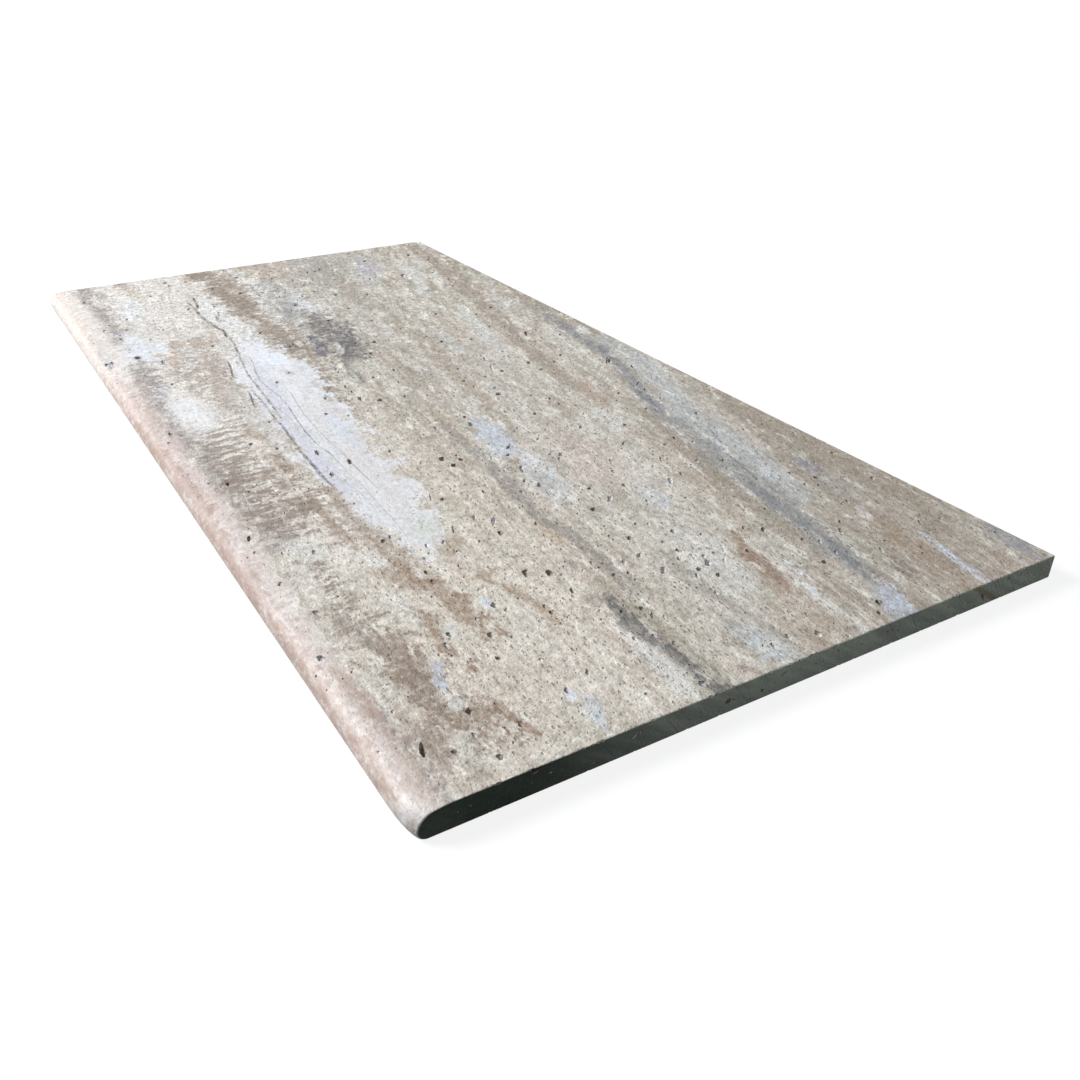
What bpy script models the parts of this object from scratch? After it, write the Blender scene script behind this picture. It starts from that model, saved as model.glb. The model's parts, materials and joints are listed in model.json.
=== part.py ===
"""Travertine coping stone: one sawn slab with a rounded nose along one long edge.

Metres, +Z up. The slab lies on its sawn bed at Z = 0 with its plan centred on the origin.
The length runs along Y, the rounded pool-side nose faces -X and the sawn deck edge faces +X.
"""

import math
import random
from typing import NamedTuple

import bmesh
import bpy
from mathutils import Matrix, Vector

# Slab
LENGTH = 0.610
WIDTH = 0.305
THICKNESS = 0.011

# Nose section: a long soft shoulder falls off the top face, the nose arc turns it down
# to the tip, and a tight lower arc brings it back under to the bed
SHOULDER_RADIUS = 0.051
SHOULDER_TURN = math.radians(9.0)
LOWER_RADIUS = 0.0035

# Sawn arrises, rubbed round by hand
ARRIS_RADIUS = 0.0006

# Corners of the nose in plan, worn to a quarter of an ellipse: the front one far more
FRONT_CORNER_RUN = 0.017
FRONT_CORNER_SET_BACK = 0.0030
BACK_CORNER_RUN = 0.006
BACK_CORNER_SET_BACK = 0.0005

# Steps of each arc
LOWER_STEPS = 7
NOSE_STEPS = 12
SHOULDER_STEPS = 5
ARRIS_STEPS = 2
CORNER_STEPS = 6

# Natural voids, cut open by the saw and the hone
VOID_ROUGHNESS = 0.22
VOID_SUBDIVISIONS = 2
BED_VOIDS = 24
DECK_VOIDS = 8
BACK_VOIDS = 6
SCATTERED_VOID_LENGTH = 0.0046
SCATTERED_VOID_WIDTH = 0.0023
SCATTERED_VOID_DEPTH = 0.0018
VOID_MARGIN = 0.06  # share of a face's long side kept free at each end
BED_REACH = (0.1, 0.9)  # shares of a face's short side that its voids lie between
EDGE_REACH = (0.35, 0.65)
BED_VOID_TURN = 20.0  # degrees, the way the bedding runs on that face
BACK_VOID_TURN = 30.0
VOID_TURN_SPREAD = 12.0
VOID_SEED = 11

STONE_COLOUR = (0.52, 0.45, 0.36, 1.0)
STONE_ROUGHNESS = 0.62
SMOOTH_ANGLE = math.radians(30.0)
WELD_DISTANCE = 1e-7


class Face(NamedTuple):
    """One flat face of the slab, measured from one of its corners."""

    corner: Vector
    along: Vector  # its long side
    across: Vector  # its short side
    out: Vector


class Void(NamedTuple):
    """One open void, placed by its shares of a face's two sides."""

    along: float
    across: float
    length: float
    width: float
    depth: float
    turn: float  # degrees from the long side towards the short one


NOSE_FRONT = Vector((-WIDTH / 2, -LENGTH / 2, 0.0))
LENGTHWISE = Vector((0.0, LENGTH, 0.0))
WIDTHWISE = Vector((WIDTH, 0.0, 0.0))
UPWARD = Vector((0.0, 0.0, THICKNESS))

TOP = Face(NOSE_FRONT + UPWARD, LENGTHWISE, WIDTHWISE, Vector((0, 0, 1)))
BED = Face(NOSE_FRONT, LENGTHWISE, WIDTHWISE, Vector((0, 0, -1)))
DECK = Face(NOSE_FRONT + WIDTHWISE, LENGTHWISE, UPWARD, Vector((1, 0, 0)))
FRONT = Face(NOSE_FRONT, WIDTHWISE, UPWARD, Vector((0, -1, 0)))
BACK = Face(NOSE_FRONT + LENGTHWISE, WIDTHWISE, UPWARD, Vector((0, 1, 0)))

# The largest voids of the top face, from the front end and the nose. The bedding, and
# the voids with it, swings from about 30 degrees on the deck side to the nose's own line.
TOP_VOIDS = (
    Void(0.853, 0.810, 0.0095, 0.0042, 0.0032, 21),
    Void(0.941, 0.911, 0.0078, 0.0027, 0.0020, 24),
    Void(0.586, 0.850, 0.0085, 0.0026, 0.0022, 30),
    Void(0.470, 0.908, 0.0095, 0.0026, 0.0024, 30),
    Void(0.508, 0.761, 0.0050, 0.0028, 0.0024, 37),
    Void(0.540, 0.695, 0.0052, 0.0021, 0.0018, 21),
    Void(0.451, 0.624, 0.0046, 0.0036, 0.0028, 40),
    Void(0.226, 0.679, 0.0066, 0.0023, 0.0022, 36),
    Void(0.401, 0.511, 0.0056, 0.0028, 0.0024, 21),
    Void(0.303, 0.496, 0.0072, 0.0022, 0.0022, 21),
    Void(0.272, 0.491, 0.0046, 0.0024, 0.0020, 31),
    Void(0.505, 0.389, 0.0066, 0.0030, 0.0026, 6),
    Void(0.343, 0.428, 0.0036, 0.0028, 0.0024, 0),
    Void(0.352, 0.401, 0.0050, 0.0029, 0.0024, 28),
    Void(0.239, 0.370, 0.0068, 0.0019, 0.0020, 30),
    Void(0.251, 0.350, 0.0044, 0.0021, 0.0018, 34),
    Void(0.166, 0.335, 0.0048, 0.0030, 0.0024, 21),
    Void(0.114, 0.567, 0.0048, 0.0025, 0.0022, 36),
    Void(0.098, 0.559, 0.0038, 0.0025, 0.0022, 25),
    Void(0.122, 0.502, 0.0050, 0.0025, 0.0022, 35),
    Void(0.386, 0.266, 0.0058, 0.0024, 0.0024, 11),
    Void(0.415, 0.233, 0.0064, 0.0023, 0.0024, 8),
    Void(0.744, 0.282, 0.0080, 0.0024, 0.0022, 8),
    Void(0.693, 0.120, 0.0068, 0.0026, 0.0022, 4),
    Void(0.719, 0.081, 0.0054, 0.0040, 0.0022, 0),
    Void(0.717, 0.030, 0.0070, 0.0030, 0.0026, 0),
    Void(0.042, 0.056, 0.0076, 0.0024, 0.0026, 21),
)

# The largest voids of the front end, from the nose and the bed
FRONT_VOIDS = (
    Void(0.146, 0.82, 0.0026, 0.0012, 0.0012, 5),
    Void(0.276, 0.66, 0.0052, 0.0016, 0.0018, 35),
    Void(0.408, 0.50, 0.0029, 0.0024, 0.0018, 15),
    Void(0.460, 0.36, 0.0022, 0.0015, 0.0012, -30),
    Void(0.493, 0.70, 0.0036, 0.0018, 0.0016, 15),
    Void(0.676, 0.66, 0.0026, 0.0019, 0.0014, -20),
    Void(0.852, 0.46, 0.0038, 0.0013, 0.0014, -60),
)


def arc(centre, radius, start, end, steps):
    """Points (x, z) on an arc from one angle to another, both ends included."""
    angles = [start + (end - start) * step / steps for step in range(steps + 1)]
    return [
        (centre[0] + radius * math.cos(a), centre[1] + radius * math.sin(a)) for a in angles
    ]


def section(inset, set_back):
    """The slab's outline across its length, as (x, z) from the uncut nose line.

    inset draws the whole outline in by that much, and set_back moves the nose alone.
    """
    lower_radius = min(LOWER_RADIUS, THICKNESS / 2)
    shoulder_fall = SHOULDER_RADIUS * (1 - math.cos(SHOULDER_TURN))
    nose_radius = (THICKNESS - lower_radius - shoulder_fall) / math.cos(SHOULDER_TURN)
    shoulder_start = math.pi / 2 + SHOULDER_TURN
    lower_centre = (set_back + lower_radius, lower_radius)
    nose_centre = (set_back + nose_radius, lower_radius)
    shoulder_centre = (
        nose_centre[0] - (SHOULDER_RADIUS - nose_radius) * math.cos(shoulder_start),
        nose_centre[1] - (SHOULDER_RADIUS - nose_radius) * math.sin(shoulder_start),
    )
    deck_x = WIDTH - ARRIS_RADIUS
    lower = arc(lower_centre, lower_radius - inset, 1.5 * math.pi, math.pi, LOWER_STEPS)
    nose = arc(nose_centre, nose_radius - inset, math.pi, shoulder_start, NOSE_STEPS)
    shoulder = arc(
        shoulder_centre, SHOULDER_RADIUS - inset, shoulder_start, math.pi / 2, SHOULDER_STEPS
    )
    top_arris = arc(
        (deck_x, THICKNESS - ARRIS_RADIUS), ARRIS_RADIUS - inset, math.pi / 2, 0.0, ARRIS_STEPS
    )
    bed_arris = arc(
        (deck_x, ARRIS_RADIUS), ARRIS_RADIUS - inset, 0.0, -math.pi / 2, ARRIS_STEPS
    )
    return lower + nose[1:] + shoulder[1:] + top_arris + bed_arris


def corner_set_back(distance, run, deepest):
    """How far the nose stands back at this distance from an end of the slab."""
    if distance >= run:
        return 0.0
    return deepest * (1 - math.sqrt(1 - (1 - distance / run) ** 2))


def end_stations(run, deepest):
    """(distance from the end, inset, set back) of the sections that shape one end."""
    stations = []
    for step in range(ARRIS_STEPS + 1):
        angle = math.pi / 2 * step / ARRIS_STEPS
        distance = ARRIS_RADIUS * (1 - math.cos(angle))
        inset = ARRIS_RADIUS * (1 - math.sin(angle))
        stations.append((distance, inset, corner_set_back(distance, run, deepest)))
    for step in range(1, CORNER_STEPS + 1):
        distance = run * (1 - math.cos(math.pi / 2 * step / CORNER_STEPS))
        if distance > 1.5 * ARRIS_RADIUS:
            stations.append((distance, 0.0, corner_set_back(distance, run, deepest)))
    return stations


def add_ring(mesh, y, inset, set_back):
    """Adds the slab's outline at one place along it, as a closed ring of edges."""
    ring = [mesh.verts.new((x - WIDTH / 2, y, z)) for x, z in section(inset, set_back)]
    return [mesh.edges.new(pair) for pair in zip(ring, ring[1:] + ring[:1])]


def loft_slab():
    """The slab's mesh, lofted through its outlines from the front end to the back."""
    front = [
        (-LENGTH / 2 + distance, inset, set_back)
        for distance, inset, set_back in end_stations(FRONT_CORNER_RUN, FRONT_CORNER_SET_BACK)
    ]
    back = [
        (LENGTH / 2 - distance, inset, set_back)
        for distance, inset, set_back in end_stations(BACK_CORNER_RUN, BACK_CORNER_SET_BACK)
    ]
    mesh = bmesh.new()
    rings = [add_ring(mesh, *station) for station in front + back[::-1]]
    for ring, following in zip(rings, rings[1:]):
        bmesh.ops.bridge_loops(mesh, edges=ring + following)
    for end_ring in (rings[0], rings[-1]):
        bmesh.ops.contextual_create(mesh, geom=end_ring)
    bmesh.ops.remove_doubles(mesh, verts=mesh.verts, dist=WELD_DISTANCE)
    bmesh.ops.recalc_face_normals(mesh, faces=mesh.faces)
    return mesh


def add_void(mesh, rng, face, void):
    """Adds one rough, flattened ball to the cutters, half of it inside the stone."""
    made = bmesh.ops.create_icosphere(mesh, subdivisions=VOID_SUBDIVISIONS, radius=1.0)
    for vert in made["verts"]:
        vert.co *= 1 + rng.uniform(-VOID_ROUGHNESS, VOID_ROUGHNESS)
    along, across = face.along.normalized(), face.across.normalized()
    cosine, sine = math.cos(math.radians(void.turn)), math.sin(math.radians(void.turn))
    axes = Matrix((
        (across * cosine - along * sine) * void.width / 2,
        (along * cosine + across * sine) * void.length / 2,
        face.out * void.depth,
    ))
    place = Matrix.Translation(face.corner + face.along * void.along + face.across * void.across)
    bmesh.ops.transform(mesh, matrix=place @ axes.transposed().to_4x4(), verts=made["verts"])


def scatter_voids(mesh, rng, face, count, reach, turn):
    """Adds count voids, one in each equal stretch of the face, so that no two meet.

    reach is the lowest and highest share of the short side that they lie at.
    """
    stretch = (1 - 2 * VOID_MARGIN) / count
    for i in range(count):
        void = Void(
            along=VOID_MARGIN + stretch * (i + rng.uniform(0.2, 0.8)),
            across=rng.uniform(*reach),
            length=SCATTERED_VOID_LENGTH * rng.uniform(0.6, 1.5),
            width=SCATTERED_VOID_WIDTH * rng.uniform(0.7, 1.3),
            depth=SCATTERED_VOID_DEPTH * rng.uniform(0.7, 1.3),
            turn=turn + rng.uniform(-VOID_TURN_SPREAD, VOID_TURN_SPREAD),
        )
        add_void(mesh, rng, face, void)


def void_cutters():
    """The mesh of all the cutters, on every face of the slab."""
    rng = random.Random(VOID_SEED)
    mesh = bmesh.new()
    for void in TOP_VOIDS:
        add_void(mesh, rng, TOP, void)
    for void in FRONT_VOIDS:
        add_void(mesh, rng, FRONT, void)
    scatter_voids(mesh, rng, BED, BED_VOIDS, BED_REACH, BED_VOID_TURN)
    scatter_voids(mesh, rng, DECK, DECK_VOIDS, EDGE_REACH, 0.0)
    scatter_voids(mesh, rng, BACK, BACK_VOIDS, EDGE_REACH, BACK_VOID_TURN)
    bmesh.ops.recalc_face_normals(mesh, faces=mesh.faces)
    return mesh


def link_mesh(name, mesh):
    """Turns a working mesh into a linked object of that name."""
    data = bpy.data.meshes.new(name)
    mesh.to_mesh(data)
    mesh.free()
    made = bpy.data.objects.new(name, data)
    bpy.context.scene.collection.objects.link(made)
    return made


def travertine():
    """The honed stone's own colour and finish."""
    material = bpy.data.materials.new("honed_travertine")
    material.use_nodes = True
    shader = material.node_tree.nodes["Principled BSDF"]
    shader.inputs["Base Color"].default_value = STONE_COLOUR
    shader.inputs["Roughness"].default_value = STONE_ROUGHNESS
    shader.inputs["Metallic"].default_value = 0.0
    return material


def build():
    """Makes the coping stone and cuts its voids."""
    for old in list(bpy.data.objects):
        bpy.data.objects.remove(old)
    stone = link_mesh("coping_stone", loft_slab())
    stone.data.materials.append(travertine())
    cutters = link_mesh("void_cutters", void_cutters())
    cutters.hide_render = True
    cutters.display_type = "WIRE"
    voids = stone.modifiers.new("natural_voids", "BOOLEAN")
    voids.operation = "DIFFERENCE"
    voids.solver = "EXACT"
    voids.object = cutters
    stone.data.shade_smooth()
    stone.data.set_sharp_from_angle(angle=SMOOTH_ANGLE)


build()
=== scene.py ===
"""Dresses the travertine coping stone: its honed slab, its open pits and its banded finish.

Meshes are in metres and the stone's pattern is in millimetres. +Z is up, the length runs along
Y with the front sawn end at -Y, and the rounded nose faces -X.
"""

import json
import logging
import math
import random
from dataclasses import dataclass, field
from enum import Enum

import bpy
import numpy as np
from mathutils import Matrix, Vector

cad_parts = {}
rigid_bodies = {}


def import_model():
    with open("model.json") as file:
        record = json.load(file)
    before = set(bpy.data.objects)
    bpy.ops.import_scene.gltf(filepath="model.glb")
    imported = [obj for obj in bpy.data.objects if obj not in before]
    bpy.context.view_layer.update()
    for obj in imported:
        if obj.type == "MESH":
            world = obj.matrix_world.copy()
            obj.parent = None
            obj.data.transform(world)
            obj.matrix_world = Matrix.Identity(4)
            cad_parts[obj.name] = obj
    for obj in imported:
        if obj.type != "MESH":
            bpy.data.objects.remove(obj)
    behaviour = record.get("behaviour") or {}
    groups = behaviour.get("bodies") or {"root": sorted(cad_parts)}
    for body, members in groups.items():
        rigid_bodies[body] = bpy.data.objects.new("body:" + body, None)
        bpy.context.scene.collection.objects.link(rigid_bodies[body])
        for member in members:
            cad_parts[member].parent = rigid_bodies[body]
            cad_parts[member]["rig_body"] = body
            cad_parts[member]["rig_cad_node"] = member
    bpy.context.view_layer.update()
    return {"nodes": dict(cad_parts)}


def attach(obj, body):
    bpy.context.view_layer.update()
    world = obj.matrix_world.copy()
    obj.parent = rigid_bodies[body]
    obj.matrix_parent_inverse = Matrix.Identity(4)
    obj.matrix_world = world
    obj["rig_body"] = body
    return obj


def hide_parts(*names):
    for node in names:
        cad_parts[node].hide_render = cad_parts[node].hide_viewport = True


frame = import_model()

log = logging.getLogger("coping_stone")

Colour = tuple[int, int, int]  # 0 to 255 in each channel, as the eye sees it
Socket = bpy.types.NodeSocket
Value = float | Socket

MM = 0.001

# The slab's own sizes, in millimetres, as its solid has them
LENGTH = 610.0
WIDTH = 305.0
THICKNESS = 11.0
SHOULDER_RADIUS = 51.0
SHOULDER_TURN = math.radians(9.0)
LOWER_RADIUS = 3.5


def linear(colour: Colour) -> tuple[float, float, float, float]:
    """A colour as seen, in the linear values that a shader takes."""
    shares = [channel / 255 for channel in colour]
    light = [c / 12.92 if c <= 0.04045 else ((c + 0.055) / 1.055) ** 2.4 for c in shares]
    return (*light, 1.0)


def select_only(piece: bpy.types.Object) -> None:
    """Selects one object, makes it the active one and leaves all others alone."""
    bpy.ops.object.select_all(action="DESELECT")
    piece.select_set(True)
    bpy.context.view_layer.objects.active = piece


class Edge(Enum):
    """How a patch or a band ends: how wide its edge is against its half width."""

    CRISP = 0.3
    WORN = 0.8
    CLOUDY = 1.6


class Weave(Enum):
    """Which way the blotches of a feature run."""

    BEDDED = "along the bedding"
    CROSSED = "feathered across it"


class Graph:
    """Lays a material's nodes in the order in which they are asked for."""

    MIX_SOCKETS = (0, 6, 7)  # a Mix node's factor and its two colours

    def __init__(self, tree: bpy.types.NodeTree) -> None:
        """Starts on a node tree.

        Args:
            tree: the material's own tree.
        """
        self.tree = tree

    def feed(self, socket: Socket, value: object) -> None:
        """Links a socket to an output, or sets it to a fixed value."""
        if isinstance(value, bpy.types.NodeSocket):
            self.tree.links.new(value, socket)
        else:
            socket.default_value = value

    def add(self, kind: str, inputs: dict[int | str, object], **settings: object) -> bpy.types.Node:
        """Adds a node.

        Args:
            kind: the node's type without its common first part.
            inputs: what each input gets, by its name or place.
            settings: the node's own options.

        Returns:
            The new node.
        """
        node = self.tree.nodes.new(f"ShaderNode{kind}")
        for name, value in settings.items():
            setattr(node, name, value)
        for key, value in inputs.items():
            self.feed(node.inputs[key], value)
        return node

    def math(self, operation: str, *terms: Value, clamp: bool = False) -> Socket:
        """One sum on one to three terms."""
        return self.add(
            "Math", dict(enumerate(terms)), operation=operation, use_clamp=clamp
        ).outputs[0]

    def scale(self, vector: Socket, factor: Value) -> Socket:
        """A vector or a colour made longer by a factor."""
        return self.add(
            "VectorMath", {0: vector, "Scale": factor}, operation="SCALE"
        ).outputs["Vector"]

    def vector(self, operation: str, *terms: object) -> Socket:
        """One sum on vectors."""
        return self.add("VectorMath", dict(enumerate(terms)), operation=operation).outputs[0]

    def dot(self, vector: Socket, weights: tuple[float, float, float]) -> Socket:
        """The sum of a vector's parts, each times its weight."""
        node = self.add("VectorMath", {0: vector, 1: weights}, operation="DOT_PRODUCT")
        return node.outputs["Value"]

    def join(self, x: Value, y: Value, z: Value) -> Socket:
        """A vector from its three parts."""
        return self.add("CombineXYZ", {0: x, 1: y, 2: z}).outputs[0]

    def split(self, vector: Socket) -> tuple[Socket, Socket, Socket]:
        """The three parts of a vector."""
        outputs = self.add("SeparateXYZ", {0: vector}).outputs
        return outputs[0], outputs[1], outputs[2]

    def noise(
        self,
        place: Socket,
        size: float,
        detail: float = 3.0,
        rough: float = 0.55,
        twist: float = 0.0,
        colour: bool = False,
    ) -> Socket:
        """Cloudy noise.

        Args:
            place: where it is read.
            size: the size of its largest clouds, in the units of place.
            detail: how many finer layers it has.
            rough: the strength of each finer layer.
            twist: how far it is drawn out of shape by itself.
            colour: whether to give three noises as a colour, not one value.

        Returns:
            The noise, about 0.5 on average.
        """
        inputs = {
            "Vector": place, "Scale": 1 / size, "Detail": detail, "Roughness": rough,
            "Distortion": twist,
        }
        return self.add("TexNoise", inputs).outputs["Color" if colour else "Fac"]

    def ramp(
        self, value: Socket, low: float, high: float, start: float = 0.0, end: float = 1.0
    ) -> Socket:
        """A soft step from start, at low, to end, at high."""
        inputs = {
            "Value": value, "From Min": low, "From Max": high, "To Min": start, "To Max": end,
        }
        settings = {"interpolation_type": "SMOOTHSTEP", "clamp": False}  # it ends by itself
        return self.add("MapRange", inputs, **settings).outputs[0]

    def curve(self, share: Socket, points: list[tuple[float, float]]) -> Socket:
        """A value that follows a line drawn through points, from 0 to 1 on both sides."""
        node = self.add("FloatCurve", {"Factor": 1.0, "Value": share})
        drawn = node.mapping.curves[0].points
        while len(drawn) < len(points):
            drawn.new(0.5, 0.5)
        for spot, place in zip(drawn, sorted(points)):
            spot.location = place
        node.mapping.extend = "HORIZONTAL"
        node.mapping.update()
        return node.outputs[0]

    def mix(
        self, factor: Value, first: object, second: object, blend: str = "MIX"
    ) -> Socket:
        """One colour laid over another by a factor."""
        node = self.add("Mix", {}, data_type="RGBA", blend_type=blend, clamp_factor=True)
        for place, value in zip(self.MIX_SOCKETS, (factor, first, second)):
            self.feed(node.inputs[place], value)
        return node.outputs[2]


@dataclass(frozen=True)
class Ground:
    """What every feature of the stone's pattern is drawn on."""

    place: Socket  # (y, x, half the depth), bent as the bedding is
    length_share: Socket  # y from the front end to the back, 0 to 1
    width_share: Socket  # x from the nose to the deck edge, 0 to 1
    calm_length_share: Socket  # the same two, hardly bent
    calm_width_share: Socket
    torn: dict[Weave, Socket]  # raggedness, about 0 on average
    blotches: dict[Weave, Socket]  # 0 to 1, where a blotchy feature is thin
    made: dict[object, Socket] = field(default_factory=dict)  # what several features share

    def turned(self, graph: Graph, degrees: int) -> Socket:
        """The place, turned about the slab's middle."""
        if degrees not in self.made:
            cos, sin = math.cos(math.radians(degrees)), math.sin(math.radians(degrees))
            along = graph.dot(self.place, (cos, sin, 0.0))
            self.made[degrees] = graph.join(along, graph.dot(self.place, (-sin, cos, 0.0)), 0.0)
        return self.made[degrees]

    def left(self, graph: Graph, weave: Weave, blotchy: float) -> Socket:
        """What is left of a blotchy feature at each place, 0 to 1."""
        key = (weave, round(blotchy, 1))
        if key not in self.made:
            self.made[key] = graph.math("MULTIPLY_ADD", self.blotches[weave], -key[1], 1.0)
        return self.made[key]


@dataclass(frozen=True)
class Feature:
    """What a patch and a band share."""

    colour: Colour
    strength: float = 0.75
    ragged: float = 0.5
    edge: Edge = Edge.WORN
    blotchy: float = 0.5
    weave: Weave = Weave.BEDDED
    milky: bool = False

    UNIT = 1.0  # what reach gives at the edge

    def reach(self, graph: Graph, ground: Ground) -> Socket:
        """How far out of the feature a place is, 0 in its middle and UNIT at its edge."""
        raise NotImplementedError

    def mask(self, graph: Graph, ground: Ground) -> Socket:
        """How much of the feature shows at each place.

        Args:
            graph: the material's nodes.
            ground: what the pattern is drawn on.

        Returns:
            A factor from 0 to the feature's strength.
        """
        reach = self.reach(graph, ground)
        torn = graph.math(
            "MULTIPLY_ADD", ground.torn[self.weave], self.ragged * self.UNIT, reach
        )
        low, high = ((1 + side * self.edge.value / 2) * self.UNIT for side in (-1, 1))
        shown = graph.ramp(torn, low, high, self.strength, 0.0)
        if not self.blotchy:
            return shown
        return graph.math("MULTIPLY", shown, ground.left(graph, self.weave, self.blotchy))


@dataclass(frozen=True)
class Patch(Feature):
    """An oval area of one colour, in millimetres."""

    y: float = 0.0
    x: float = 0.0
    long: float = 10.0  # half its length
    wide: float = 4.0  # half its width
    turn: float = 0.0  # degrees that its front end swings towards the nose

    TURN_STEP = 4

    def reach(self, graph: Graph, ground: Ground) -> Socket:
        """How far out of the oval a place is."""
        turn = self.TURN_STEP * round(self.turn / self.TURN_STEP)
        cos, sin = math.cos(math.radians(turn)), math.sin(math.radians(turn))
        along, across = self.y * cos + self.x * sin, self.x * cos - self.y * sin
        shares = (1 / self.long, 1 / self.wide, 0.0)
        start = (-along / self.long, -across / self.wide, 0.0)
        placed = graph.vector("MULTIPLY_ADD", ground.turned(graph, turn), shares, start)
        return graph.add("VectorMath", {0: placed}, operation="LENGTH").outputs["Value"]


@dataclass(frozen=True)
class Band(Feature):
    """A streak of one colour along the bedding, in millimetres."""

    line: tuple[tuple[float, float, float], ...] = ()  # (y, x, half its width there)
    calm: bool = False  # drawn straight, as a crack is

    UNIT = 0.25
    CLOSING = 0.012  # share of the length in which an end comes to its point

    def reach(self, graph: Graph, ground: Ground) -> Socket:
        """How far out of the streak a place is."""
        ordered = [(y / LENGTH + 0.5, x / WIDTH + 0.5, half) for y, x, half in sorted(self.line)]
        widest = max(half for _, _, half in ordered)
        length = ground.calm_length_share if self.calm else ground.length_share
        width = ground.calm_width_share if self.calm else ground.width_share
        middle = graph.curve(length, [(y, x) for y, x, _ in ordered])
        closed = [(y, self.UNIT * (1 - half / widest)) for y, _, half in ordered]
        if closed[0][0] > 0.01:
            closed.insert(0, (closed[0][0] - self.CLOSING, 1.0))
        if closed[-1][0] < 0.99:
            closed.append((closed[-1][0] + self.CLOSING, 1.0))
        away = graph.math("ABSOLUTE", graph.math("SUBTRACT", width, middle))
        scale = self.UNIT * WIDTH / widest
        return graph.math("MULTIPLY_ADD", away, scale, graph.curve(length, closed))


def patch(
    y: float, x: float, long: float, wide: float, colour: Colour, **finish: object
) -> Patch:
    """An oval with a worn edge, of half a length and half a width."""
    return Patch(y=y, x=x, long=long, wide=wide, colour=colour, **finish)


def cloud(*oval: object, **finish: object) -> Patch:
    """A patch that fades into the stone round it."""
    return patch(*oval, edge=Edge.CLOUDY, **finish)


def fleck(*oval: object, **finish: object) -> Patch:
    """A patch with a crisp edge."""
    return patch(*oval, edge=Edge.CRISP, **finish)


def band(*line: tuple[float, float, float], **finish: object) -> Band:
    """A streak through (y, x, half width) points."""
    return Band(line=line, **finish)


def crack(*line: tuple[float, float, float], **finish: object) -> Band:
    """A thin streak, drawn straight."""
    return band(*line, calm=True, **finish)


# The stone's own colours, from the palest to the darkest
MILK: Colour = (232, 233, 237)
ICE: Colour = (208, 213, 224)
CHALK: Colour = (228, 226, 221)
SHELL: Colour = (233, 225, 219)
CREAM: Colour = (218, 212, 200)
SAND: Colour = (196, 184, 169)
FAWN: Colour = (176, 161, 146)
GREY: Colour = (150, 149, 147)
UMBER: Colour = (156, 133, 113)
SLATE: Colour = (122, 124, 134)
SOOT: Colour = (114, 108, 106)

# Broad changes of tone across the slab, partly the stone's own and partly a painted fall of light
# across the top
TONES: tuple[Feature, ...] = (
    cloud(-225, 125, 150, 48, (170, 159, 145), turn=12, blotchy=0.2),
    cloud(-50, 60, 170, 46, (204, 197, 186), turn=12, strength=0.5, blotchy=0.2),
    cloud(255, 45, 110, 38, (182, 179, 172), turn=12, strength=0.65, blotchy=0.2),
    band((305, -98, 48), (150, -102, 46), (20, -114, 26), (-60, -120, 14), colour=(222, 217, 212),
         edge=Edge.CLOUDY, strength=0.92, blotchy=0.2),
    cloud(-230, -80, 100, 62, (232, 222, 208), strength=0.78, blotchy=0.3),
    band((110, -110, 18), (0, -114, 20), (-100, -114, 24), (-165, -116, 18), colour=(234, 227, 218),
         edge=Edge.CLOUDY, strength=0.85, blotchy=0.2),
    cloud(-228, 12, 34, 15, (222, 216, 206), turn=8, strength=0.6, blotchy=0.3),
    cloud(-176, 48, 36, 11, (216, 209, 197), turn=12, strength=0.5, blotchy=0.3),
    cloud(-50, -45, 45, 9, (224, 216, 206), turn=4, strength=0.6, blotchy=0.3),
    cloud(-280, 106, 30, 14, (170, 156, 142), turn=12, strength=0.5, blotchy=0.3),
    cloud(-100, -42, 90, 22, (214, 204, 190), turn=4, strength=0.6, blotchy=0.3),
    cloud(-230, 18, 70, 20, (206, 200, 188), turn=8, strength=0.5, blotchy=0.3),
    cloud(25, 20, 80, 45, (178, 170, 160), turn=12, strength=0.4, blotchy=0.3),
    cloud(288, 80, 45, 60, (172, 166, 158), turn=12, strength=0.35, blotchy=0.3),
    cloud(-250, -72, 45, 14, (216, 209, 198), turn=4, strength=0.5, blotchy=0.3),
    cloud(78, 140, 30, 9, (166, 156, 144), turn=12, strength=0.9, blotchy=0.3),
    cloud(145, 0, 50, 28, (216, 213, 208), turn=8, strength=0.6, blotchy=0.3),
    cloud(26, 76, 40, 12, (214, 207, 196), turn=12, strength=0.5, blotchy=0.3),
)

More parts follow.
